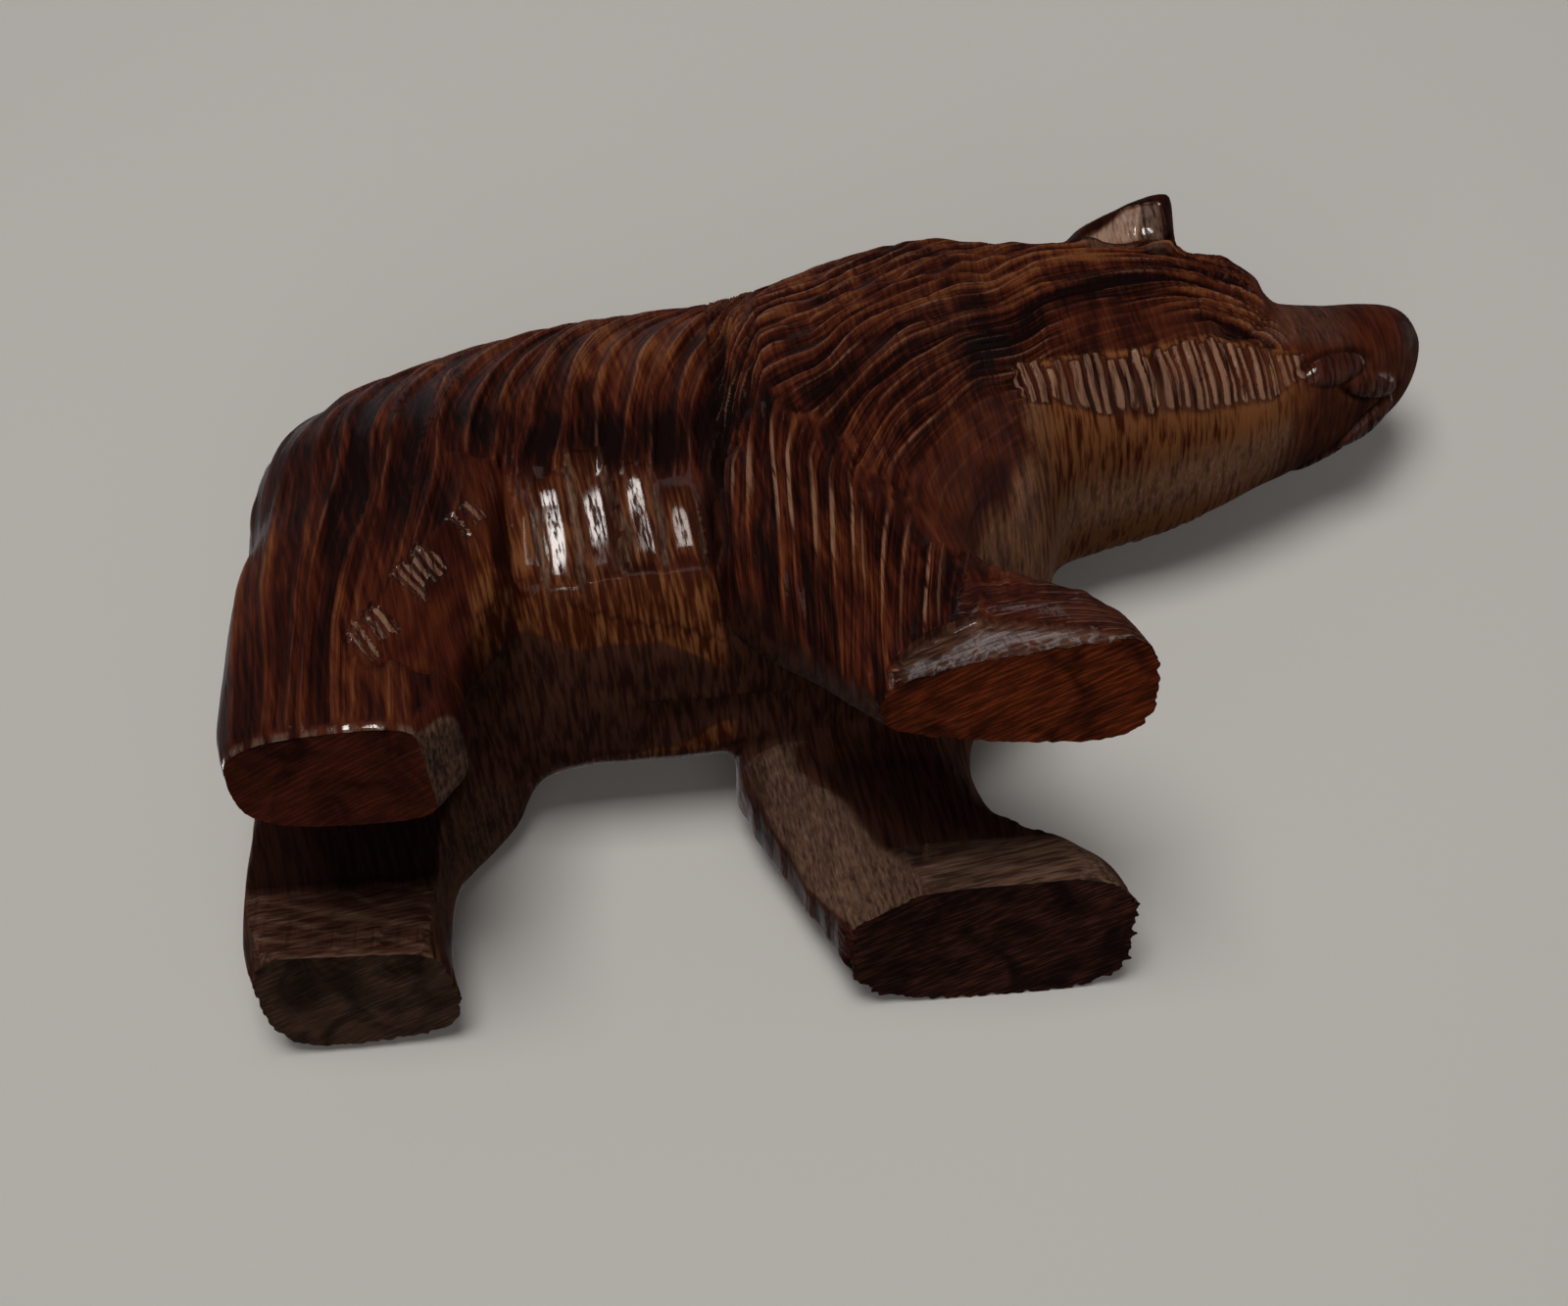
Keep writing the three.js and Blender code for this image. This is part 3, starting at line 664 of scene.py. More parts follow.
crease = -CREASE_DEPTH * np.exp(-((x - profile(z, CREASE_LINE)) ** 2))
crease = crease * between(z, 18, 26, 54, 66) * facing_out
scallop_across = x + 0.09 * (z - 33) + 0.25 * wobble
scallops, scallop_rows, scallop_area, scallop_floor, pillars = np.zeros((5, len(x)))
for number, scallop in enumerate(SCALLOPS):
    u = (scallop_across - scallop["middle"]) / SCALLOP_HALF
    inside_cut = np.abs(u) < 1
    low, high, broad = scallop["low"], scallop["high"], scallop["broad"]
    ends = between(z + 0.8 * u * u + 0.4 * quiver, low - 1.4, low + 0.8, high - 4, high + 1) * side_on
    scallops -= SCALLOP_DEPTH * np.maximum(0, 1 - u**4) * ends
    scallop_rows = np.where(inside_cut, number + 0.5 + u / 2, scallop_rows)
    scallop_area = np.where(inside_cut, ends, scallop_area)
    off_middle = np.abs(u + 0.12 * quiver)
    shine = scallop["gloss"] * ends * (1 - rise(off_middle, broad - 0.15, broad + 0.1))
    scallop_floor = np.maximum(scallop_floor, shine * (1 - rise(z, high - 3.5, high - 1.5)))
    pillars = np.maximum(pillars, inside_cut * ends * rise(off_middle, 0.7, 0.85))
print("scallops:", len(SCALLOPS), "and the deepest is", scallops.min().round(2), "mm")

# %% Nicks on the thigh
THIGH_X, THIGH_Z = -42, 21.5
THIGH_COSINE, THIGH_SINE = 0.514, 0.858
NICKS = {"pitch": 1.1, "length": 1, "seed": 51, "uneven": 0.33}
NICK_RIM, NICK_DEPTH = 0.15, 0.4

thigh_run = (x - THIGH_X) * THIGH_COSINE + (z - THIGH_Z) * THIGH_SINE
thigh_off = (x - THIGH_X) * THIGH_SINE - (z - THIGH_Z) * THIGH_COSINE
thigh_nick, thigh_rows, _ = gouge_rows(thigh_run + 0.25 * thigh_off + 0.25 * quiver, 0 * x, **NICKS)
nick_reach = 0.8 + 0.9 * chance(np.floor(thigh_rows), 52)
nick_there = chance(np.floor(thigh_rows), 53) > 0.22
thigh_area = between(thigh_off / nick_reach, -1.5, -1.0, 1.0, 1.5) * between(thigh_run, -12.5, -11, 11, 13)
thigh_area = thigh_area * nick_there * (y < 0) * side_on * rise(np.sin(thigh_run * 0.66 + 1.2), -0.5, -0.1)
thigh = thigh_area * (NICK_RIM - NICK_DEPTH * thigh_nick)
print("thigh from", thigh.min().round(2), "to", thigh.max().round(2), "mm")

# %% [markdown]
# ## Cuts on the head
#
# A row of slanting chisel cuts runs along the jaw. The brow steps down to the muzzle, with the eye in the
# corner below it. The lips are two low swellings, one behind the other, and each ear has a flat hollow with
# a rim.

# %% Jaw, brow and eye
JAW_SPACING = [(25, 0), (45, 13), (62, 27)]
JAW_CUTS = {"pitch": 1.0, "length": 1, "seed": 41, "uneven": 0.33}
JAW_SLANT = 0.16
JAW_DEPTH = 0.35
BROW_LINE = [(59, 54.3), (62, 56.8), (66, 59), (70, 58.8)]
BROW_BULGE, BROW_STEP, BROW_HOLLOW = 0.6, 0.6, 0.5
EYE_X, EYE_Z = 53.2, 60
EYE_LONG, EYE_TALL = 1.9, 1.0
EYE_DEPTH = 1.1


def ridge(value, middle, half):
    """1 at the middle of a rounded ridge or groove, fading out past its half width."""
    return np.exp(-(((value - middle) / half) ** 2))


jaw_strip = rise(over_jaw_foot, -0.3, 0.3) * (1 - rise(above_jaw, -0.4, 0.5)) * between(x, 24.5, 26, 61, 63)
jaw_across = profile(x, JAW_SPACING) + 0.1 * quiver + JAW_SLANT * (z - 52)
jaw_cut, jaw_rows, _ = gouge_rows(jaw_across, 0 * x, **JAW_CUTS)
jaw_luck = chance(np.floor(jaw_rows + 0.5), 43)
jaw_strip = jaw_strip * rise(over_jaw_foot, -0.3, 0.3 + 1.0 * jaw_luck)
jaw_strip = jaw_strip * (1 - rise(above_jaw + 1.6 * jaw_luck, 0.2, 0.9))
jaw = -JAW_DEPTH * jaw_cut * jaw_strip * rise(outward, 0.15, 0.4)

brow_x = profile(z, BROW_LINE)
brow_line = ridge(x, brow_x, 0.8) * between(z, 58.5, 60.5, 70, 73)
brow_bulge = ridge(x, 55.4, 2.4) * rise(z, 63, 69)
brow_hollow = ridge(x, 60.3, 1.1) * rise(z, 64, 67)
brow = BROW_BULGE * brow_bulge - BROW_STEP * brow_line - BROW_HOLLOW * brow_hollow
eye_away = np.hypot((x - EYE_X - 0.5 * (z - EYE_Z)) / EYE_LONG, (z - EYE_Z) / EYE_TALL)
eye_socket = np.exp(-(eye_away**2)) * partly_side_on
eye = -EYE_DEPTH * eye_socket
print("jaw:", jaw.min().round(2), "mm; brow:", brow.min().round(2), "mm; eye:", eye.min().round(2), "mm")

# %% Lips, ears and nostrils
UPPER_LIP = {"middle_x": 65.2, "middle_level": 51.2, "half_length": 4.2, "half_height": 1.9, "tilt": 0.18}
LOWER_LIP = {"middle_x": 70.6, "middle_level": 49.2, "half_length": 3.7, "half_height": 1.5, "tilt": 0}
LEVEL_COSINE, LEVEL_SINE = 0.571, 0.817
LIP_HEIGHT, LIP_GROOVE = 0.85, 0.5
EAR_FOOT = [(37, 76.1), (43.2, 75.6), (47.4, 74.2)]
EAR_TOP, EAR_FRONT_RIM = 80.0, 47.3
SPLIT_LEAN = 0.25
NOSTRIL_ASIDE, NOSTRIL_Z = 3.4, 66.6
NOSTRIL_DEPTH = 0.7


def swelling(middle_x, middle_level, half_length, half_height, tilt):
    """1 at the rim of an oval on the lower side of the muzzle and 0 in its middle, growing on outside."""
    level = LEVEL_COSINE * aside + LEVEL_SINE * z - middle_level - tilt * (x - middle_x)
    return np.hypot((x - middle_x) / half_length, level / half_height), level


on_muzzle = (x > 58) * (z < 64)
upper_lip, upper_level = swelling(**UPPER_LIP)
lower_lip, lower_level = swelling(**LOWER_LIP)
from_lip = np.minimum(upper_lip, lower_lip)
lip_swell = np.sqrt(np.maximum(0, 1 - from_lip**2)) * on_muzzle
upper_groove = ridge(upper_lip, 1.1, 0.16) * rise(upper_level, -1.2, 0.8)
lower_groove = ridge(lower_lip, 1.1, 0.16) * rise(-lower_level, -1.0, 0.8)
lip_groove = np.maximum(upper_groove, lower_groove) * on_muzzle * (from_lip > 0.95)
mouth = LIP_HEIGHT * lip_swell - LIP_GROOVE * lip_groove

over_ear_foot = z - profile(x, EAR_FOOT)
below_rear_rim = 0.558 * (x - 37.2) - 0.83 * (z - 76.4)
ear_room = np.minimum.reduce([below_rear_rim, EAR_TOP - z, EAR_FRONT_RIM - x, over_ear_foot])
ear_hollow = on_ear * rise(ear_room, 0, 0.5) * partly_side_on
ear_split = ridge(x - SPLIT_LEAN * (z - 78), 44, 0.3) * ear_hollow
ear_front = ear_hollow * rise(x - 44.2 - SPLIT_LEAN * (z - 78), 0, 0.5)
ear_base = between(over_ear_foot, -1.9, -1.4, -0.4, 0) * between(x, 36, 38, 47, 48)
ear_base = ear_base * partly_side_on * (aside > 8)
ear = -(0.3 + 0.2 * (EAR_TOP - z)) * ear_hollow + 0.3 * ear_split

nostril_away = np.hypot((aside - NOSTRIL_ASIDE) / 1.1, (z - NOSTRIL_Z) / 0.9)
nostril = -NOSTRIL_DEPTH * np.exp(-(nostril_away**2)) * rise(forward, 0.3, 0.7) * (x > 74)
features = crease + scallops + jaw + thigh + brow + eye + mouth + nostril + ear
print("deepest feature:", features.min().round(2), "mm; highest:", features.max().round(2), "mm")

# %% [markdown]
# ## Carve
#
# Everything is added up and each point moves along its normal. The rims of the soles are chipped sideways,
# most on the left feet, as a coarse saw leaves them. Then the soles are sawn flat: what reached below the
# ground is pressed up to it, which leaves a crisp edge round every foot.

# %% Move the skin and saw the soles
HAND = 0.1
BEVEL_HEIGHT = 0.9
BEVEL_SLOPE = 0.45
CREST_HEIGHT = 0.4
BROAD_CHIPS, FINE_CHIPS = 0.45, 0.25
CHIPPED = {"right_fore": 0.45, "left_fore": 1.0, "right_hind": 0.12, "left_hind": 0.6}

fore = x > -30
on_foot = {
    "right_fore": fore & (y < 0), "left_fore": fore & (y >= 0),
    "right_hind": ~fore & (y < 0), "left_hind": ~fore & (y >= 0),
}
chipped = sum(share * on_foot[foot] for foot, share in CHIPPED.items())
inner_edge = (y > 0) * (normals[:, 1] < -0.75)
ground_plan = points * [1, 1, 0]
chips = BROAD_CHIPS * rise(ripple(2.2, 71, ground_plan), 0.0, 0.8) + FINE_CHIPS * ripple(1.1, 72, ground_plan)
chips = chips * chipped * (1 - 0.85 * inner_edge) * (1 - rise(z, 0.6, 2.6)) * (z < 10)

hand = HAND * ripple(7, 61) * (1 - fur)
height = features - coat * fur + CREST_HEIGHT * fur + hand
carved = points + normals * (height * rise(z, -0.5, 1.0))[:, None]
carved[:, :2] -= normals[:, :2] * chips[:, None]
bevel = BEVEL_SLOPE * np.clip(BEVEL_HEIGHT - z, 0, BEVEL_HEIGHT) * rise(outward, 0.4, 0.7)
carved[:, 1] -= np.sign(y) * bevel * on_foot["right_hind"]
on_sole = carved[:, 2] < 0.0
carved[:, 2] = np.maximum(carved[:, 2], 0)
skin.vertices.foreach_set("co", carved.astype(np.float32).ravel())
print("points on the soles:", int(on_sole.sum()))

# %% [markdown]
# ## Notes for the finish
#
# The lacquer and stain follow the carving, so every point keeps a few numbers for the material: the rows it
# lies in and how far along them, how strong and worn their crests are, with a painted highlight on them, how
# tan, dull or polished the wood was left, how dark the stain turned out there, and where light and shade are
# painted in. SHADES lists patches of darker or lighter stain: their middle in x and z, their reach in x
# and z, and the amount.

# %% Shade of the stain, with painted shade and painted light
DARK_STREAK = [(19.5, 48.7), (24, 54), (30, 60.7), (38, 64.3), (46, 66.7)]
STREAK_SHADE, STREAK_SLOPE, STREAK_HALF = -0.32, 0.75, 2.1
SHADES = [
    (10, 43, 9, 6, -0.14), (-56, 44, 8, 9, -0.1), (-18, 44, 13, 4, -0.26), (-20, 58, 18, 7, 0.08),
    (38, 70.5, 9, 2.5, 0.16), (6, 63, 11, 6, 0.05), (-40, 24, 6, 9, -0.08), (-50, 20, 10, 12, -0.06),
    (47, 64, 8, 4, 0.08), (28, 66, 12, 6, 0.09), (-9.5, 36, 2.5, 15, -0.18), (52, 73, 6, 4, -0.1),
]

streak_off = STREAK_SLOPE * (z - profile(x, DARK_STREAK))
streak_on = between(x, 18, 21, 42, 50) * partly_side_on
shade = STREAK_SHADE * ridge(streak_off, 0, STREAK_HALF) * streak_on + 0.05 * wobble
for middle_x, middle_z, reach_x, reach_z, amount in SHADES:
    shade = shade + amount * ridge(x, middle_x, reach_x) * ridge(z, middle_z, reach_z)
row_luck = np.select(
    [behind_crease > 0.5, on_leg], [chance(np.floor(rump_rows), 82), chance(np.floor(leg_rows), 83)],
    chance(np.floor(neck_rows), 84),
)
# Random tone per row, plus painted shade that darkens the hollows of the rows, more over the brow.
row_tone_and_hollow_shade = 0.12 * (row_luck - 0.5) - 0.2 * (hollow - 0.55)
shade = shade + fur * (1 - 0.2 * behind_crease + over_brow) * row_tone_and_hollow_shade
throat = below_jaw * (1 - jaw_strip) * (1 - rise(x, 57, 63)) * rise(z, 21, 25)
# The throat is lifted by painted light, on top of its paler pared wood.
shade = shade + 0.14 * throat - 0.1 * lip_swell
# The ear hollows get a painted highlight, on top of their paler wood.
shade = shade - 0.2 * on_ear * (1 - ear_hollow) + 0.32 * ear_hollow - 0.36 * ear_front
print("shade from", shade.min().round(2), "to", shade.max().round(2))

# %% Tan, pale and dull wood
BAND_FOOT = [(-37, 17.4), (-27, 11.3), (-17.6, 10.9), (-11.5, 5.5)]
BAND_EDGE = [(-35, 24.5), (-25.3, 15.4), (-15.8, 12.8), (-11, 11.5)]
HEEL_END = [(3.1, 9), (11.6, 2.3), (20.6, -3.3)]

band_foot = profile(x, BAND_FOOT) + 0.5 * wobble + 0.3 * quiver
band = between(x, -38, -35.5, -11, -9.5) * rise(aside - band_foot, -0.4, 0.6) * (1 - rise(z, 26.6, 28))
band = band * (z > 16) * rise(-upward, 0.1, 0.3)
tan = np.clip(band + throat + ear_hollow + 0.75 * scallop_area, 0, 1)

turned = np.stack([forward, outward, upward], 1)
past_heel = x - profile(z, HEEL_END)
heel = turned @ np.array([LOW_HEEL_PLANE[1], HIGH_HEEL_PLANE[1]]).T
heel = rise(heel.max(1), 0.8, 0.93) * (y > 0) * fore * (z < 22) * (1 - rise(past_heel, 0, 1.5))
knee, knee_blend = np.where(fore, FORE_KNEE, HIND_KNEE), np.where(fore, 0.6, 3)
low_facet = (1 - rise(z, knee - knee_blend, knee)) * (y > 0) * rise(-outward, 0.5, 0.75) * (1 - heel)
toe_facet = (y < 0) * (x < -34) * (z < 7) * rise(turned @ np.array(TOE_PLANE[1]), 0.85, 0.95)
silver = silver_place(points) * side_on * rise(z, 0.1, 0.5)
muzzle_side = rise(x - brow_x, 0.5, 2) * rise(z, 58.5, 61) * (1 - rise(x, 65, 70)) * (x > 54)
notched = rise(np.sin(x * 2.6 + quiver), -0.7, 0.1)
sole_rim = between(x, -64, -62, -42, -40) * (y < -24) * (1 - rise(z, 0.5, 0.9)) * notched
left_rim = between(x, -66, -64, -46, -44) * (y > 0) * (1 - rise(z, 0.3, 0.7)) * inside_on
hind_front = (y > 0) * (x < -28) * rise(forward, 0.3, 0.6) * between(z, 4, 7, 22, 26)
hind_streaks = 0.1 + 0.5 * rise(np.sin(2.4 * (z + 0.25 * (x + 55)) + 1.2 * quiver), 0.2, 0.9)
throat_grey = throat * np.maximum(rise(7 - aside, 0, 5), 1 - rise(x, 24, 30))
# Pale wood, with painted highlights on the silver facet, the ear hollows and the rim of the right hind sole.
pale_and_highlight = np.maximum.reduce([
    heel, low_facet * np.where(fore, 1, hind_streaks), toe_facet, 0.45 * throat_grey, 0.85 * pillars,
    0.9 * ear_hollow, 0.55 * ear_base, 0.55 * silver, 0.3 * muzzle_side, 0.8 * sole_rim, 0.35 * hind_front,
    0.6 * left_rim,
])
inside = rise(-outward, 0.0, 0.4) * (z < 40)
dull = np.clip(under + inside + heel, 0, 1) * (1 - band) * (1 - throat) * (1 - 0.7 * rise(x, 57, 62))
print("tan, pale and dull shares:", [part.mean().round(3) for part in (tan, pale_and_highlight, dull)])

# %% Worn crests and polish
toes_top = rise(x, 13, 15) * (1 - rise(z, 11, 13)) * (x < 45)
paw_streaks = np.maximum(fore_foot, toes_top) * (y < 0) * (1 - silver) * rise(outward + upward, 0.3, 0.8)
lengthwise = np.maximum.reduce([low_facet, silver, paw_streaks])
wear_and_sheen = 0.35 + 0.65 * rise(ripple(8, 81), -0.4, 0.5)
nose = rise(x, 72, 75) * rise(z, 58, 62)
polish = np.maximum.reduce([
    0.8 * scallop_floor, 0.9 * thigh_area, 0.3 * silver, ear_hollow, 0.05 * jaw_strip, lip_swell, 0.05 * nose,
    0.2 * paw_streaks, sole_rim,
])


def broad_crests(rows):
    """The count of the rows, bent so that crests look broader and grooves narrower."""
    off = rows - np.round(rows)
    return np.round(rows) + 0.5 * np.sign(off) * np.abs(2 * off) ** 1.8


paw_rows = (z + 0.25 * wobble + 0.1 * x) / 1.2
rump_worn_and_sheen = 0.5 * rump_crest * fur * wear_and_sheen * (1 - 0.6 * rise(around, 25, 40))
leg_worn_and_sheen = leg_crest * fur * (0.5 + 0.5 * wear_and_sheen) * rise(-above_leg, 0, 6)
neck_worn_and_sheen = 0.5 * neck_crest * fur * wear_and_sheen * rise(above_leg, 0, 4)
# Each set of rows: where it is, its count, the way along it and its worn tan with painted highlight.
row_sets = [
    (jaw_strip > 0.4, broad_crests(jaw_rows) + 2000, z, 1.6 * rise(jaw_strip, 0.45, 0.8)),
    (scallop_area > 0.3, scallop_rows + 3000, z, 0.3 * rise(scallop_area, 0.35, 0.8)),
    # Thigh nick bars are painted glints; the jaw cuts are partly a painted highlight.
    (thigh_area > 0.3, broad_crests(thigh_rows) + 4000, thigh_off, 1.5 * rise(thigh_area, 0.35, 0.8)),
    (paw_streaks > 0.4, paw_rows + 6000, x, 1.1 * wear_and_sheen * rise(paw_streaks, 0.45, 0.8)),
    (behind_crease > 0.5, rump_rows, rump_run, rump_worn_and_sheen),
    (on_leg, leg_rows + 500, front_run, leg_worn_and_sheen),
]
areas, counts, runs, worns_and_sheens = zip(*row_sets)
off_meeting = 1 - meeting * (x > -9.5)
rows = np.select(areas, counts, neck_rows + 1000)
run = np.select(areas, runs, front_run)
worn_and_sheen = np.select(areas, worns_and_sheens, neck_worn_and_sheen) * off_meeting
cut_fur = fur * (1 - 0.25 * behind_crease * rise(around, 15, 40))
cut = np.maximum.reduce([cut_fur, 0.6 * jaw_strip, 0.25 * scallop_area, thigh_area, paw_streaks])
cut = cut * off_meeting
print("sets of rows:", len(row_sets) + 1)

# %% Dark places and painted shadow, and all notes stored
PAW_LINE = [(9, 3.1), (16.5, 5.3), (23.4, 6.2)]
SOLE_TONES = {"right_fore": 1.0, "left_fore": 0.0, "right_hind": 0.66, "left_hind": 0.33}
EVEN_GLOSS = 0.16

band_line = profile(x, BAND_EDGE) + 0.35 * np.sin(x * 3.1) + 0.3 * quiver
band_line = ridge(aside, band_line, 0.35) * band
# Painted shadow: the insides of the left legs, which the right legs and the body shade.
painted_shade_hind_inside = (y > 0) * (x < -40) * between(z, HIND_KNEE - 3, HIND_KNEE, 19, 24) * inside_on
painted_shade_shin = (y > 0) * fore * rise(past_heel, 0, 1.5) * rise(z - profile(x, PAW_LINE), 0, 1.5)
painted_shade_shin = painted_shade_shin * (1 - rise(z, 18, 21)) * inside_on
dark_marks_and_shadow = 0.7 * lip_groove + eye_socket + 0.5 * brow_line - 0.9 * crease + 0.55 * band_line
dark_marks_and_shadow = np.clip(dark_marks_and_shadow + 0.8 * painted_shade_hind_inside + 0.55 * painted_shade_shin, 0, 1)
sole_tone = sum(tone * on_foot[foot] for foot, tone in SOLE_TONES.items())
notes = {
    "rows": rows, "run": run, "worn_and_sheen": worn_and_sheen, "cut": cut, "dark_marks_and_shadow": dark_marks_and_shadow, "shade": shade, "tan": tan,
    "pale_and_highlight": pale_and_highlight, "dull": dull, "polish": polish, "lengthwise": lengthwise, "sole_tone": sole_tone,
    "even_gloss": EVEN_GLOSS * silver,
}
for name, values in notes.items():
    layer = skin.attributes.new(name, "FLOAT", "POINT")
    layer.data.foreach_set("value", values.astype(np.float32))
print("notes:", ", ".join(notes))

# %% [markdown]
# ## Saw the bear into its pieces
#
# The cuts follow the seams of the blocks: level under the belly for the legs, across the neck, and close to
# the head and the rump for ears and tail. Slicing the skin first gives clean edges on every seam; then each
# face goes to the piece that its middle lies in, and every opening is closed with a flat face.

# %% Slice the skin along the seams
LEG_SEAM = 20.5
NECK_SEAM = Vector((28, 0, 63.25))
NECK_NORMAL = Vector((math.cos(math.radians(10)), 0, math.sin(math.radians(10))))
TAIL_SEAM = -65.6
TAIL_ASIDE, TAIL_LOW, TAIL_HIGH = 7, 30, 50
SEAM_REACH = 2
EAR_BOX = (11, 8, 9)
SLIVER = 0.02


def ear_seam(node):
    """A plane through the foot of an ear block: its lowest face looks down on the head."""
    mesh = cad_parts[node].data
    lowest = min(mesh.polygons, key=lambda f: f.normal.z * f.area)
    flat = [f for f in mesh.polygons if f.normal.dot(lowest.normal) > 0.999]
    middle = sum((f.center * f.area for f in flat), Vector()) / sum(f.area for f in flat)
    return middle / MM - ZERO, -lowest.normal


body = bmesh.new()
body.from_mesh(skin)
bmesh.ops.dissolve_degenerate(body, edges=body.edges, dist=SLIVER)
ear_planes = {node: ear_seam(node) for node in ("right_ear", "left_ear")}


def slice_skin(point, normal, wanted):
    """Cut new edges where a plane crosses the faces whose middle is wanted."""
    faces = [f for f in body.faces if wanted(f.calc_center_median())]
    around_them = {e for f in faces for e in f.edges} | {v for f in faces for v in f.verts}
    bmesh.ops.bisect_plane(body, geom=[*faces, *around_them], dist=1e-5, plane_co=point, plane_no=normal)


def near_ear(c, node):
    """Whether a point is close to the foot of an ear."""
    away = c - ear_planes[node][0]
    return all(abs(distance) < reach for distance, reach in zip(away, EAR_BOX))


def near_tail(c):
    """Whether a point is in the band round the tail."""
    return abs(c.y) < TAIL_ASIDE and TAIL_LOW < c.z < TAIL_HIGH


slice_skin(Vector((0, 0, LEG_SEAM)), Vector((0, 0, 1)), lambda c: abs(c.z - LEG_SEAM) < SEAM_REACH)
slice_skin(NECK_SEAM, NECK_NORMAL, lambda c: abs((c - NECK_SEAM).dot(NECK_NORMAL)) < SEAM_REACH)
slice_skin(Vector((TAIL_SEAM, 0, 0)), Vector((-1, 0, 0)), lambda c: near_tail(c) and c.x < -55)
for node, (point, normal) in ear_planes.items():
    slice_skin(point, normal, lambda c: near_ear(c, node))
print("sliced skin:", len(body.faces), "faces")

# %% Part the pieces
def piece_of(c):
    """The name of the piece that a point of the skin belongs to."""
    if c.z < LEG_SEAM:
        side = "right" if c.y < 0 else "left"
        return side + ("_foreleg" if c.x > -30 else "_hind_leg")
    for node, (point, normal) in ear_planes.items():
        if near_ear(c, node) and (c - point).dot(normal) > 0:
            return node
    if (c - NECK_SEAM).dot(NECK_NORMAL) > 0:
        return "head"
    if c.x < TAIL_SEAM and near_tail(c):
        return "tail"
    return "body"


pieces = {}
body.faces.ensure_lookup_table()
owners = [piece_of(f.calc_center_median()) for f in body.faces]
for name in sorted(set(owners)):
    part = body.copy()
    part.faces.ensure_lookup_table()
    strangers = [part.faces[i] for i, owner in enumerate(owners) if owner != name]
    bmesh.ops.delete(part, geom=strangers, context="FACES")
    rim = [e for e in part.edges if e.is_boundary]
    caps = bmesh.ops.holes_fill(part, edges=rim, sides=0)["faces"]
    for face in part.faces:
        face.smooth = True
    for face in caps:
        face.smooth = False
        for edge in face.edges:
            edge.smooth = False
    bmesh.ops.translate(part, vec=ZERO, verts=part.verts)
    bmesh.ops.scale(part, vec=(MM, MM, MM), verts=part.verts)
    mesh = bpy.data.meshes.new("carved_" + name)
    part.to_mesh(mesh)
    part.free()
    pieces[name] = bpy.data.objects.new("carved_" + name, mesh)
    bpy.context.scene.collection.objects.link(pieces[name])
    print(name, len(mesh.polygons), "faces,", len(caps), "seams closed")
body.free()

# %% [markdown]
# ## The wood
#
# The wood is a red-brown hardwood under dark stain and gloss lacquer. Grain is noise stretched along the
# trunk that the blank was cut from. Furred wood and sawn soles share it, so it is a node group.

# %% Grain that both woods share
def new_node(tree, kind, **inputs):
    """A node with some of its input values set."""
    node = tree.nodes.new(kind)
    for key, value in inputs.items():
        node.inputs[key].default_value = value
    return node


def new_group(name, inputs, outputs):
    """An empty node group with number sockets, its entry and its exit."""
    tree = bpy.data.node_groups.new(name, "ShaderNodeTree")
    for socket in inputs:
        tree.interface.new_socket(socket, in_out="INPUT", socket_type="NodeSocketFloat")
    for socket in outputs:
        tree.interface.new_socket(socket, in_out="OUTPUT", socket_type="NodeSocketFloat")
    return tree, tree.nodes.new("NodeGroupInput").outputs, tree.nodes.new("NodeGroupOutput").inputs


def stretched_noise(tree, scale, detail, distortion=0, turn=(0.12, 0.18, 0)):
    """Noise in the bear's own coordinates, turned and then squeezed by the three scales."""
    place = tree.nodes.new("ShaderNodeTexCoord")
    turned = new_node(tree, "ShaderNodeMapping", Rotation=turn)
    squeezed = new_node(tree, "ShaderNodeMapping", Scale=scale)
    noise = new_node(tree, "ShaderNodeTexNoise", Scale=1, Detail=detail, Distortion=distortion)
    tree.links.new(place.outputs["Object"], turned.inputs["Vector"])
    tree.links.new(turned.outputs["Vector"], squeezed.inputs["Vector"])
    tree.links.new(squeezed.outputs["Vector"], noise.inputs["Vector"])
    return noise.outputs["Fac"]


wood_grain, _, leave = new_group("wood_grain", [], ["Fibre", "Lengthwise", "Figure", "Speckle"])
wood_grain.links.new(stretched_noise(wood_grain, (1900, 200, 200), 4), leave["Fibre"])
wood_grain.links.new(stretched_noise(wood_grain, (170, 2400, 2400), 4), leave["Lengthwise"])
wood_grain.links.new(stretched_noise(wood_grain, (150, 90, 60), 3, 1.2), leave["Figure"])
wood_grain.links.new(stretched_noise(wood_grain, (3200, 900, 900), 2), leave["Speckle"])
print("group:", wood_grain.name)

# %% [markdown]
# ## Crests and grooves
#
# The rows of cuts were counted while they were carved. The fraction of that count says where a point lies
# between two crests, finer than the mesh itself: the crest is rubbed bare, and its tan carries a painted
# highlight as well; just beside it a dark line stands both for stain that ran together there and for a
# painted shadow of the crest. Fine streaks run along the cut, where the gouge tore the fibres.

# %% Numbers and ramps in a node tree
def ramp(tree, factor, *stops):
    """A colour ramp through stops of (position, colour)."""
    node = tree.nodes.new("ShaderNodeValToRGB")
    while len(node.color_ramp.elements) < len(stops):
        node.color_ramp.elements.new(1)
    for element, (position, colour) in zip(node.color_ramp.elements, stops):
        element.position = position
        element.color = (*colour, 1)
    tree.links.new(factor, node.inputs["Fac"])
    return node.outputs["Color"]


def maths(tree, operation, *values, clamp=False):
    """A Math node on numbers and sockets."""
    node = tree.nodes.new("ShaderNodeMath")
    node.operation = operation
    node.use_clamp = clamp
    for socket, value in zip(node.inputs, values):
        if isinstance(value, (int, float)):
            socket.default_value = value
        else:
            tree.links.new(value, socket)
    return node.outputs["Value"]


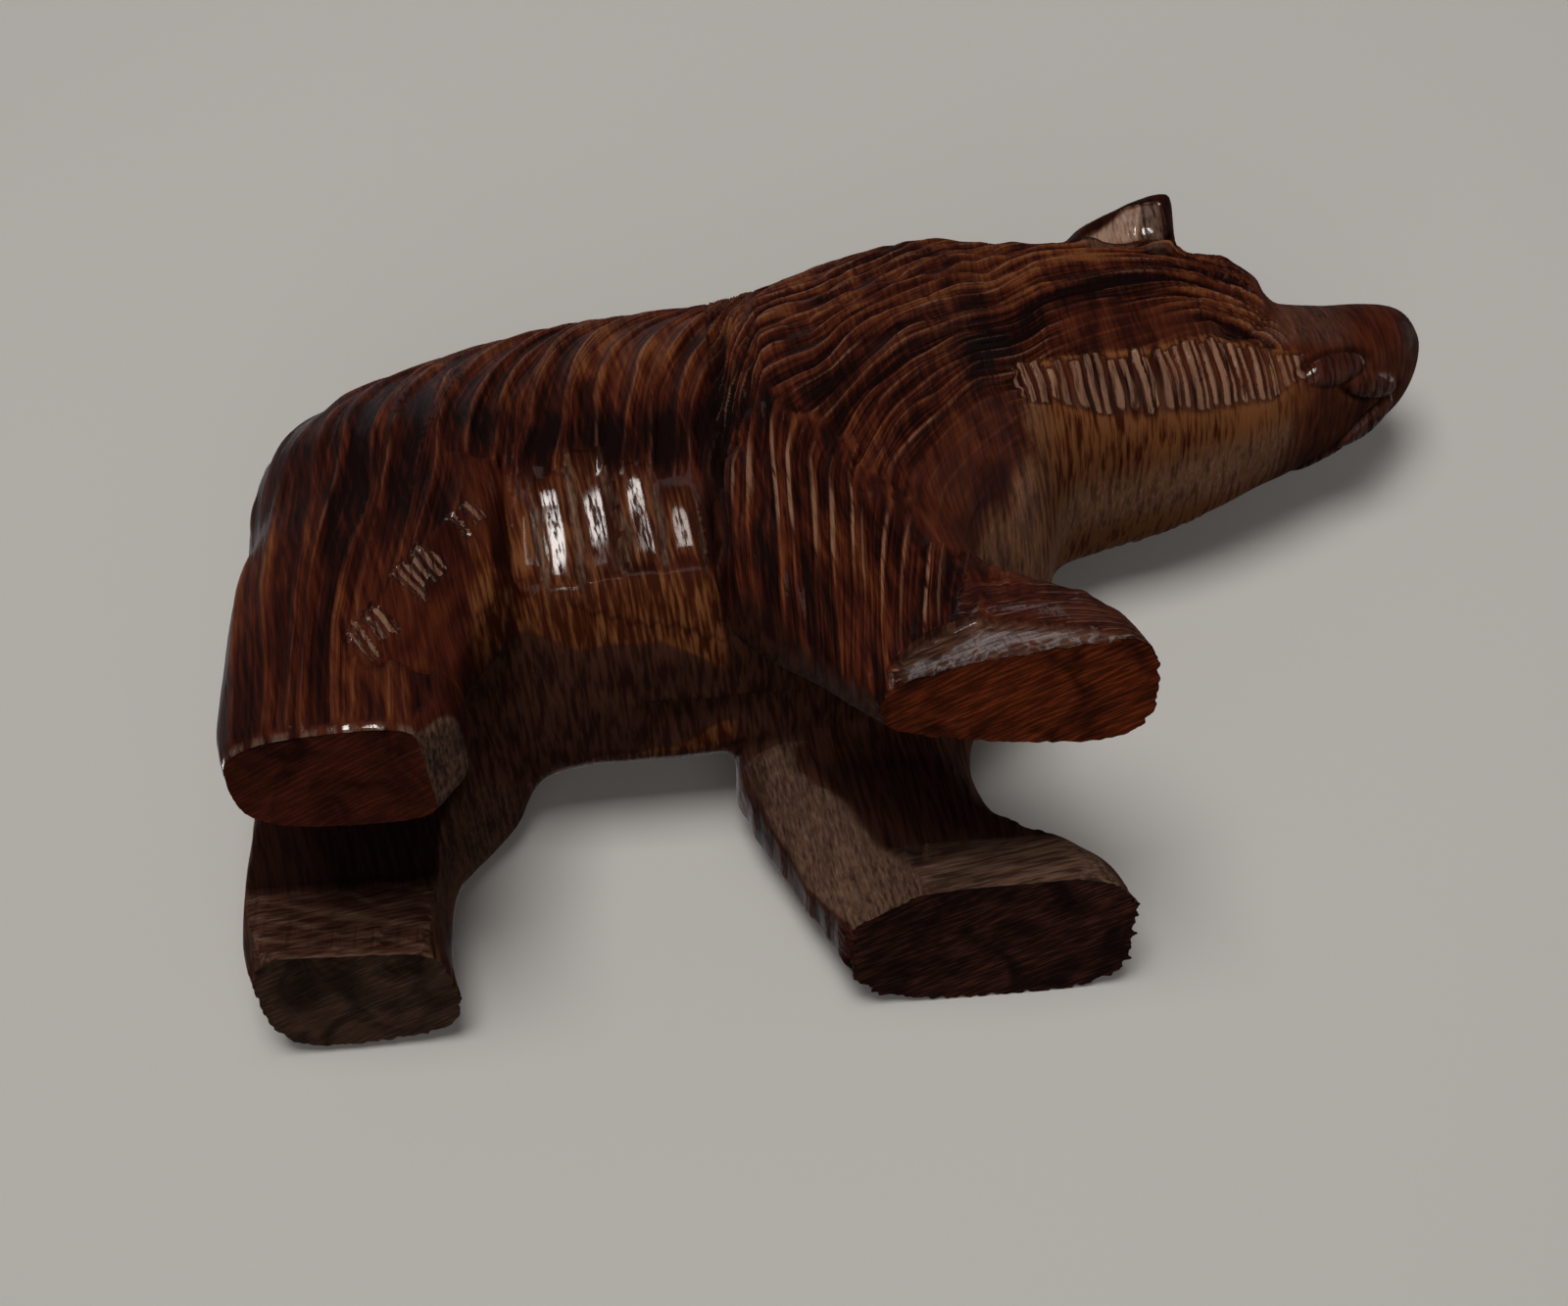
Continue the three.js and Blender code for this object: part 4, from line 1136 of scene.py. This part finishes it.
def stepped(tree, value, start, end):
    """A Map Range node: 0 at start, 1 at end, smooth between."""
    node = tree.nodes.new("ShaderNodeMapRange")
    node.interpolation_type = "SMOOTHSTEP"
    node.inputs["From Min"].default_value = start
    node.inputs["From Max"].default_value = end
    tree.links.new(value, node.inputs["Value"])
    return node.outputs["Result"]


def added(tree, base, extra, share):
    """A value plus a share of another one."""
    return maths(tree, "ADD", base, maths(tree, "MULTIPLY", extra, share))


def remaining(tree, value):
    """What a value leaves of 1."""
    return maths(tree, "SUBTRACT", 1.0, value)


print("helpers: ramp, maths, stepped, added and remaining")

# %% Stain, painted highlight and painted shadow in the cuts
LEAST_CREST, CREST_LUCK = 0.45, 0.55
CREST_WIDTH, WORN_AND_SHEEN_WIDTH = 0.04, 0.12
STREAKS_PER_ROW, STREAKS_PER_MM = 7.0, 0.1

cut_stain_and_shading, entry, leave = new_group("cut_stain_and_shading", ["Rows", "Run", "Worn_and_sheen"], ["Crest", "Dark_marks_and_shadow", "Streak"])
row = maths(cut_stain_and_shading, "FLOOR", maths(cut_stain_and_shading, "ADD", entry["Rows"], 0.5))
u = maths(cut_stain_and_shading, "SUBTRACT", entry["Rows"], row)
luck = cut_stain_and_shading.nodes.new("ShaderNodeTexWhiteNoise")
luck.noise_dimensions = "1D"
cut_stain_and_shading.links.new(row, luck.inputs["W"])
share = added(cut_stain_and_shading, LEAST_CREST, luck.outputs["Value"], CREST_LUCK)
breadth = added(cut_stain_and_shading, CREST_WIDTH, entry["Worn_and_sheen"], WORN_AND_SHEEN_WIDTH)
off_crest = maths(cut_stain_and_shading, "DIVIDE", maths(cut_stain_and_shading, "ABSOLUTE", u), breadth)
crest = maths(cut_stain_and_shading, "MULTIPLY", remaining(cut_stain_and_shading, stepped(cut_stain_and_shading, off_crest, 0.55, 1.1)), share)
crest = maths(cut_stain_and_shading, "MULTIPLY", crest, maths(cut_stain_and_shading, "MULTIPLY", entry["Worn_and_sheen"], 0.85, clamp=True))
# Groove: a dark line beside the crest, partly stain run together, partly painted shadow of the crest.
groove_in = stepped(cut_stain_and_shading, u, -0.38, -0.2)
groove_out = remaining(cut_stain_and_shading, stepped(cut_stain_and_shading, u, -0.16, -0.07))
lane = cut_stain_and_shading.nodes.new("ShaderNodeCombineXYZ")
cut_stain_and_shading.links.new(maths(cut_stain_and_shading, "MULTIPLY", entry["Rows"], STREAKS_PER_ROW), lane.inputs["X"])
cut_stain_and_shading.links.new(maths(cut_stain_and_shading, "MULTIPLY", entry["Run"], STREAKS_PER_MM), lane.inputs["Y"])
streak = new_node(cut_stain_and_shading, "ShaderNodeTexNoise", Scale=1, Detail=3)
cut_stain_and_shading.links.new(lane.outputs["Vector"], streak.inputs["Vector"])
cut_stain_and_shading.links.new(crest, leave["Crest"])
cut_stain_and_shading.links.new(maths(cut_stain_and_shading, "MULTIPLY", groove_in, groove_out), leave["Dark_marks_and_shadow"])
cut_stain_and_shading.links.new(streak.outputs["Fac"], leave["Streak"])
print("group:", cut_stain_and_shading.name)

# %% [markdown]
# ## Lacquered, furred wood
#
# Red-brown wood, darker where the broad figure of the grain is dark, near-black in the grooves, with a
# painted shadow beside each crest, and worn to tan on the crests, with a painted highlight there too. The
# band on the flank and the throat were pared after staining and stayed lighter, and the throat is lifted
# further by painted light. The silver patch on the paw, the ear hollows and the rim of the right hind sole
# carry painted highlights in their colour, and the insides of the left legs painted shadow. The underside and
# the insides of the legs hardly saw any lacquer, while fresh facets shine.

# %% Parts of a material
def mixed(tree, share, first, second, blend="MIX"):
    """A colour made of two colours. Each value is a socket, a number or a plain colour."""
    node = tree.nodes.new("ShaderNodeMix")
    node.data_type = "RGBA"
    node.blend_type = blend
    sockets = [node.inputs[0]] + [s for s in node.inputs if s.type == "RGBA"]
    for socket, value in zip(sockets, (share, first, second)):
        if isinstance(value, tuple):
            socket.default_value = (*value, 1)
        elif isinstance(value, (int, float)):
            socket.default_value = value
        else:
            tree.links.new(value, socket)
    return next(s for s in node.outputs if s.type == "RGBA")


def placed(tree, group):
    """A node group put into a material's tree."""
    node = tree.nodes.new("ShaderNodeGroup")
    node.node_tree = group
    return node


def note(tree, name):
    """One of the numbers that the carving left at every point."""
    node = tree.nodes.new("ShaderNodeAttribute")
    node.attribute_name = name
    return node.outputs["Fac"]


def wood_material(name):
    """An empty principled material: itself, its tree and its shader."""
    material = bpy.data.materials.new(name)
    material.use_nodes = True
    return material, material.node_tree, material.node_tree.nodes["Principled BSDF"]


print("helpers: mixed, placed, note and wood_material")

# %% Furred wood: its colour
# Near-black: stain, and painted shadow as well.
STAIN_AND_SHADOW = (0.004, 0.0008, 0.0006)
# Worn crests, jaw cuts and thigh nicks: partly bare wood, partly a painted highlight.
WORN_AND_SHEEN = (0.2, 0.105, 0.065)
WOOD_TONES = [
    (0.15, (0.004, 0.0008, 0.0005)), (0.32, (0.019, 0.003, 0.0014)), (0.44, (0.042, 0.0078, 0.003)),
    (0.57, (0.07, 0.0165, 0.0052)), (0.75, (0.125, 0.04, 0.012)),
]
TAN_TONES = [(0.36, (0.03, 0.006, 0.0016)), (0.5, (0.062, 0.0165, 0.005)), (0.68, (0.13, 0.047, 0.016))]
DULL_TONES = [(0.4, (0.019, 0.006, 0.0036)), (0.6, (0.053, 0.0197, 0.0118))]
# The brightest stop carries the painted highlight of the ear hollows.
PALE_AND_HIGHLIGHT_TONES = [(0.35, (0.03, 0.015, 0.01)), (0.65, (0.126, 0.07, 0.046)), (0.92, (0.3, 0.19, 0.14))]
FIGURE_WEIGHT, FIBRE_WEIGHT, STREAK_WEIGHT = 0.6, 0.5, 0.9
TONE_SHIFT = 0.125
TAN_CONTRAST, TAN_SHIFT = 1.6, 0.3
SPECKLE_WEIGHT = 0.6
LINE_WEIGHT = 0.9

furred, tree, shader = wood_material("furred_wood")
grain = placed(tree, wood_grain)
figure, speckle = grain.outputs["Figure"], grain.outputs["Speckle"]
turn = maths(tree, "SUBTRACT", grain.outputs["Lengthwise"], grain.outputs["Fibre"])
fibre = added(tree, grain.outputs["Fibre"], turn, note(tree, "lengthwise"))
stain_and_shading = placed(tree, cut_stain_and_shading)
for name in ("rows", "run", "worn_and_sheen"):
    tree.links.new(note(tree, name), stain_and_shading.inputs[name.capitalize()])
crest = stain_and_shading.outputs["Crest"]
streak = maths(tree, "MULTIPLY", maths(tree, "SUBTRACT", stain_and_shading.outputs["Streak"], 0.5), note(tree, "cut"))
tone = added(tree, maths(tree, "MULTIPLY", figure, FIGURE_WEIGHT), fibre, FIBRE_WEIGHT)
tone = maths(tree, "ADD", maths(tree, "SUBTRACT", tone, TONE_SHIFT), note(tree, "shade"))
wood = ramp(tree, added(tree, tone, streak, STREAK_WEIGHT), *WOOD_TONES)
tan_tone = maths(tree, "SUBTRACT", maths(tree, "MULTIPLY", fibre, TAN_CONTRAST), TAN_SHIFT)
tan_wood = ramp(tree, maths(tree, "ADD", tan_tone, note(tree, "shade")), *TAN_TONES)
dull_wood = ramp(tree, fibre, *DULL_TONES)
speckled = maths(tree, "MULTIPLY", remaining(tree, note(tree, "lengthwise")), SPECKLE_WEIGHT)
pale_and_highlight_tone = added(tree, fibre, maths(tree, "SUBTRACT", speckle, fibre), speckled)
pale_and_highlight_wood = ramp(tree, maths(tree, "ADD", pale_and_highlight_tone, note(tree, "shade")), *PALE_AND_HIGHLIGHT_TONES)
colour = wood
for name, other_wood in (("tan", tan_wood), ("dull", dull_wood), ("pale_and_highlight", pale_and_highlight_wood)):
    colour = mixed(tree, note(tree, name), colour, other_wood)
# The near-black colour paints stain in the grooves and painted shadow beside crests and inside the left legs.
line = maths(tree, "MULTIPLY", stain_and_shading.outputs["Dark_marks_and_shadow"], note(tree, "cut"))
line = maths(tree, "MULTIPLY", line, stepped(tree, stain_and_shading.outputs["Streak"], 0.4, 0.56))
line = maths(tree, "MAXIMUM", maths(tree, "MULTIPLY", line, LINE_WEIGHT), note(tree, "dark_marks_and_shadow"))
colour = mixed(tree, line, colour, STAIN_AND_SHADOW)
# Crests get the worn tan together with its painted highlight.
colour = mixed(tree, maths(tree, "MULTIPLY", crest, stepped(tree, fibre, 0.3, 0.55)), colour, WORN_AND_SHEEN)
tree.links.new(colour, shader.inputs["Base Color"])
print("material:", furred.name)

# %% Furred wood: lacquer and relief
LACQUER = 0.015
COAT_ROUGHNESS = 0.14
SPECULAR = 0.04
ROUGH, DULL_ROUGH, FIBRE_ROUGH = 0.68, 0.12, 0.14
SPECKLE_SPARK, FIBRE_SPARK = 0.45, 0.55
CREST_RELIEF, STREAK_RELIEF, POLISH_RELIEF = 0.6, 0.8, 0.9


def bumped(tree, shader, height, strength, distance):
    """Give a shader small relief."""
    bump = new_node(tree, "ShaderNodeBump", Strength=strength, Distance=distance)
    tree.links.new(height, bump.inputs["Height"])
    tree.links.new(bump.outputs["Normal"], shader.inputs["Normal"])


lacquer = maths(tree, "MULTIPLY", remaining(tree, note(tree, "dull")), LACQUER)
lacquer = maths(tree, "ADD", lacquer, note(tree, "even_gloss"))
spark = added(tree, maths(tree, "MULTIPLY", speckle, SPECKLE_SPARK), fibre, FIBRE_SPARK)
glint = maths(tree, "MULTIPLY", note(tree, "polish"), stepped(tree, spark, 0.43, 0.56))
tree.links.new(maths(tree, "ADD", lacquer, glint, clamp=True), shader.inputs["Coat Weight"])
shader.inputs["Coat Roughness"].default_value = COAT_ROUGHNESS
shader.inputs["Specular IOR Level"].default_value = SPECULAR
rough = added(tree, ROUGH, note(tree, "dull"), DULL_ROUGH)
tree.links.new(added(tree, rough, fibre, FIBRE_ROUGH), shader.inputs["Roughness"])
relief = added(tree, fibre, crest, CREST_RELIEF)
relief = added(tree, relief, streak, STREAK_RELIEF)
relief = added(tree, relief, speckle, maths(tree, "MULTIPLY", note(tree, "polish"), POLISH_RELIEF))
bumped(tree, shader, relief, 0.7, 0.0005)
print("lacquered:", furred.name)

# %% [markdown]
# ## Sawn soles
#
# The soles were sawn off and hardly lacquered, so the grain shows as open, dull fibres, crossed by
# scratches of the saw that are plainest on the fore soles. Each foot took the stain differently: the right
# fore sole is the brightest, the left one almost black.

# %% Sawn wood
SAW_TURN = (0, 0, math.radians(33))
SAW_SCALE = (260, 2300, 500)
SAWN_ROUGHNESS = 0.7
FOOT_TONES = [
    (0, (0.03, 0.0095, 0.0065)), (0.33, (0.05, 0.026, 0.0165)), (0.66, (0.05, 0.0095, 0.0045)),
    (1, (0.088, 0.016, 0.0042)),
]
VEIN_TONES = [(0.35, (0.35, 0.35, 0.35)), (0.6, (1.2, 1.2, 1.2))]
SAW_TONES = [(0.38, (0.45, 0.45, 0.45)), (0.5, (0.9, 0.9, 0.9)), (0.62, (2.2, 2.1, 2.0))]
SAW_SHARES = [(0, (1, 1, 1)), (0.33, (0.4, 0.4, 0.4)), (0.66, (0.35, 0.35, 0.35)), (1, (0.7, 0.7, 0.7))]
UNMARKED = (1, 1, 1)

sawn, tree, shader = wood_material("sawn_wood")
grain = placed(tree, wood_grain)
scratch = stretched_noise(tree, SAW_SCALE, 3, 0, SAW_TURN)
foot = ramp(tree, note(tree, "sole_tone"), *FOOT_TONES)
vein = ramp(tree, grain.outputs["Figure"], *VEIN_TONES)
saw_share = ramp(tree, note(tree, "sole_tone"), *SAW_SHARES)
saw = mixed(tree, saw_share, UNMARKED, ramp(tree, scratch, *SAW_TONES))
colour = mixed(tree, 1, foot, vein, "MULTIPLY")
tree.links.new(mixed(tree, 1, colour, saw, "MULTIPLY"), shader.inputs["Base Color"])
shader.inputs["Roughness"].default_value = SAWN_ROUGHNESS
shader.inputs["Specular IOR Level"].default_value = SPECULAR
bumped(tree, shader, maths(tree, "ADD", grain.outputs["Fibre"], scratch), 0.8, 0.0003)
print("material:", sawn.name)

# %% [markdown]
# ## Put the pieces in the frame
#
# Every piece stands for the block of the same name, takes the furred and the sawn wood and rides on the one
# body.

# %% Put the pieces on the body
SOLE_FLATNESS = 0.02 * MM

for name, piece in pieces.items():
    piece.data.materials.append(furred)
    piece.data.materials.append(sawn)
    for face in piece.data.polygons:
        if face.center.z < SOLE_FLATNESS and face.normal.z < FLAT_DOWN:
            face.material_index = 1
    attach(piece, "root")
    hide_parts(name)
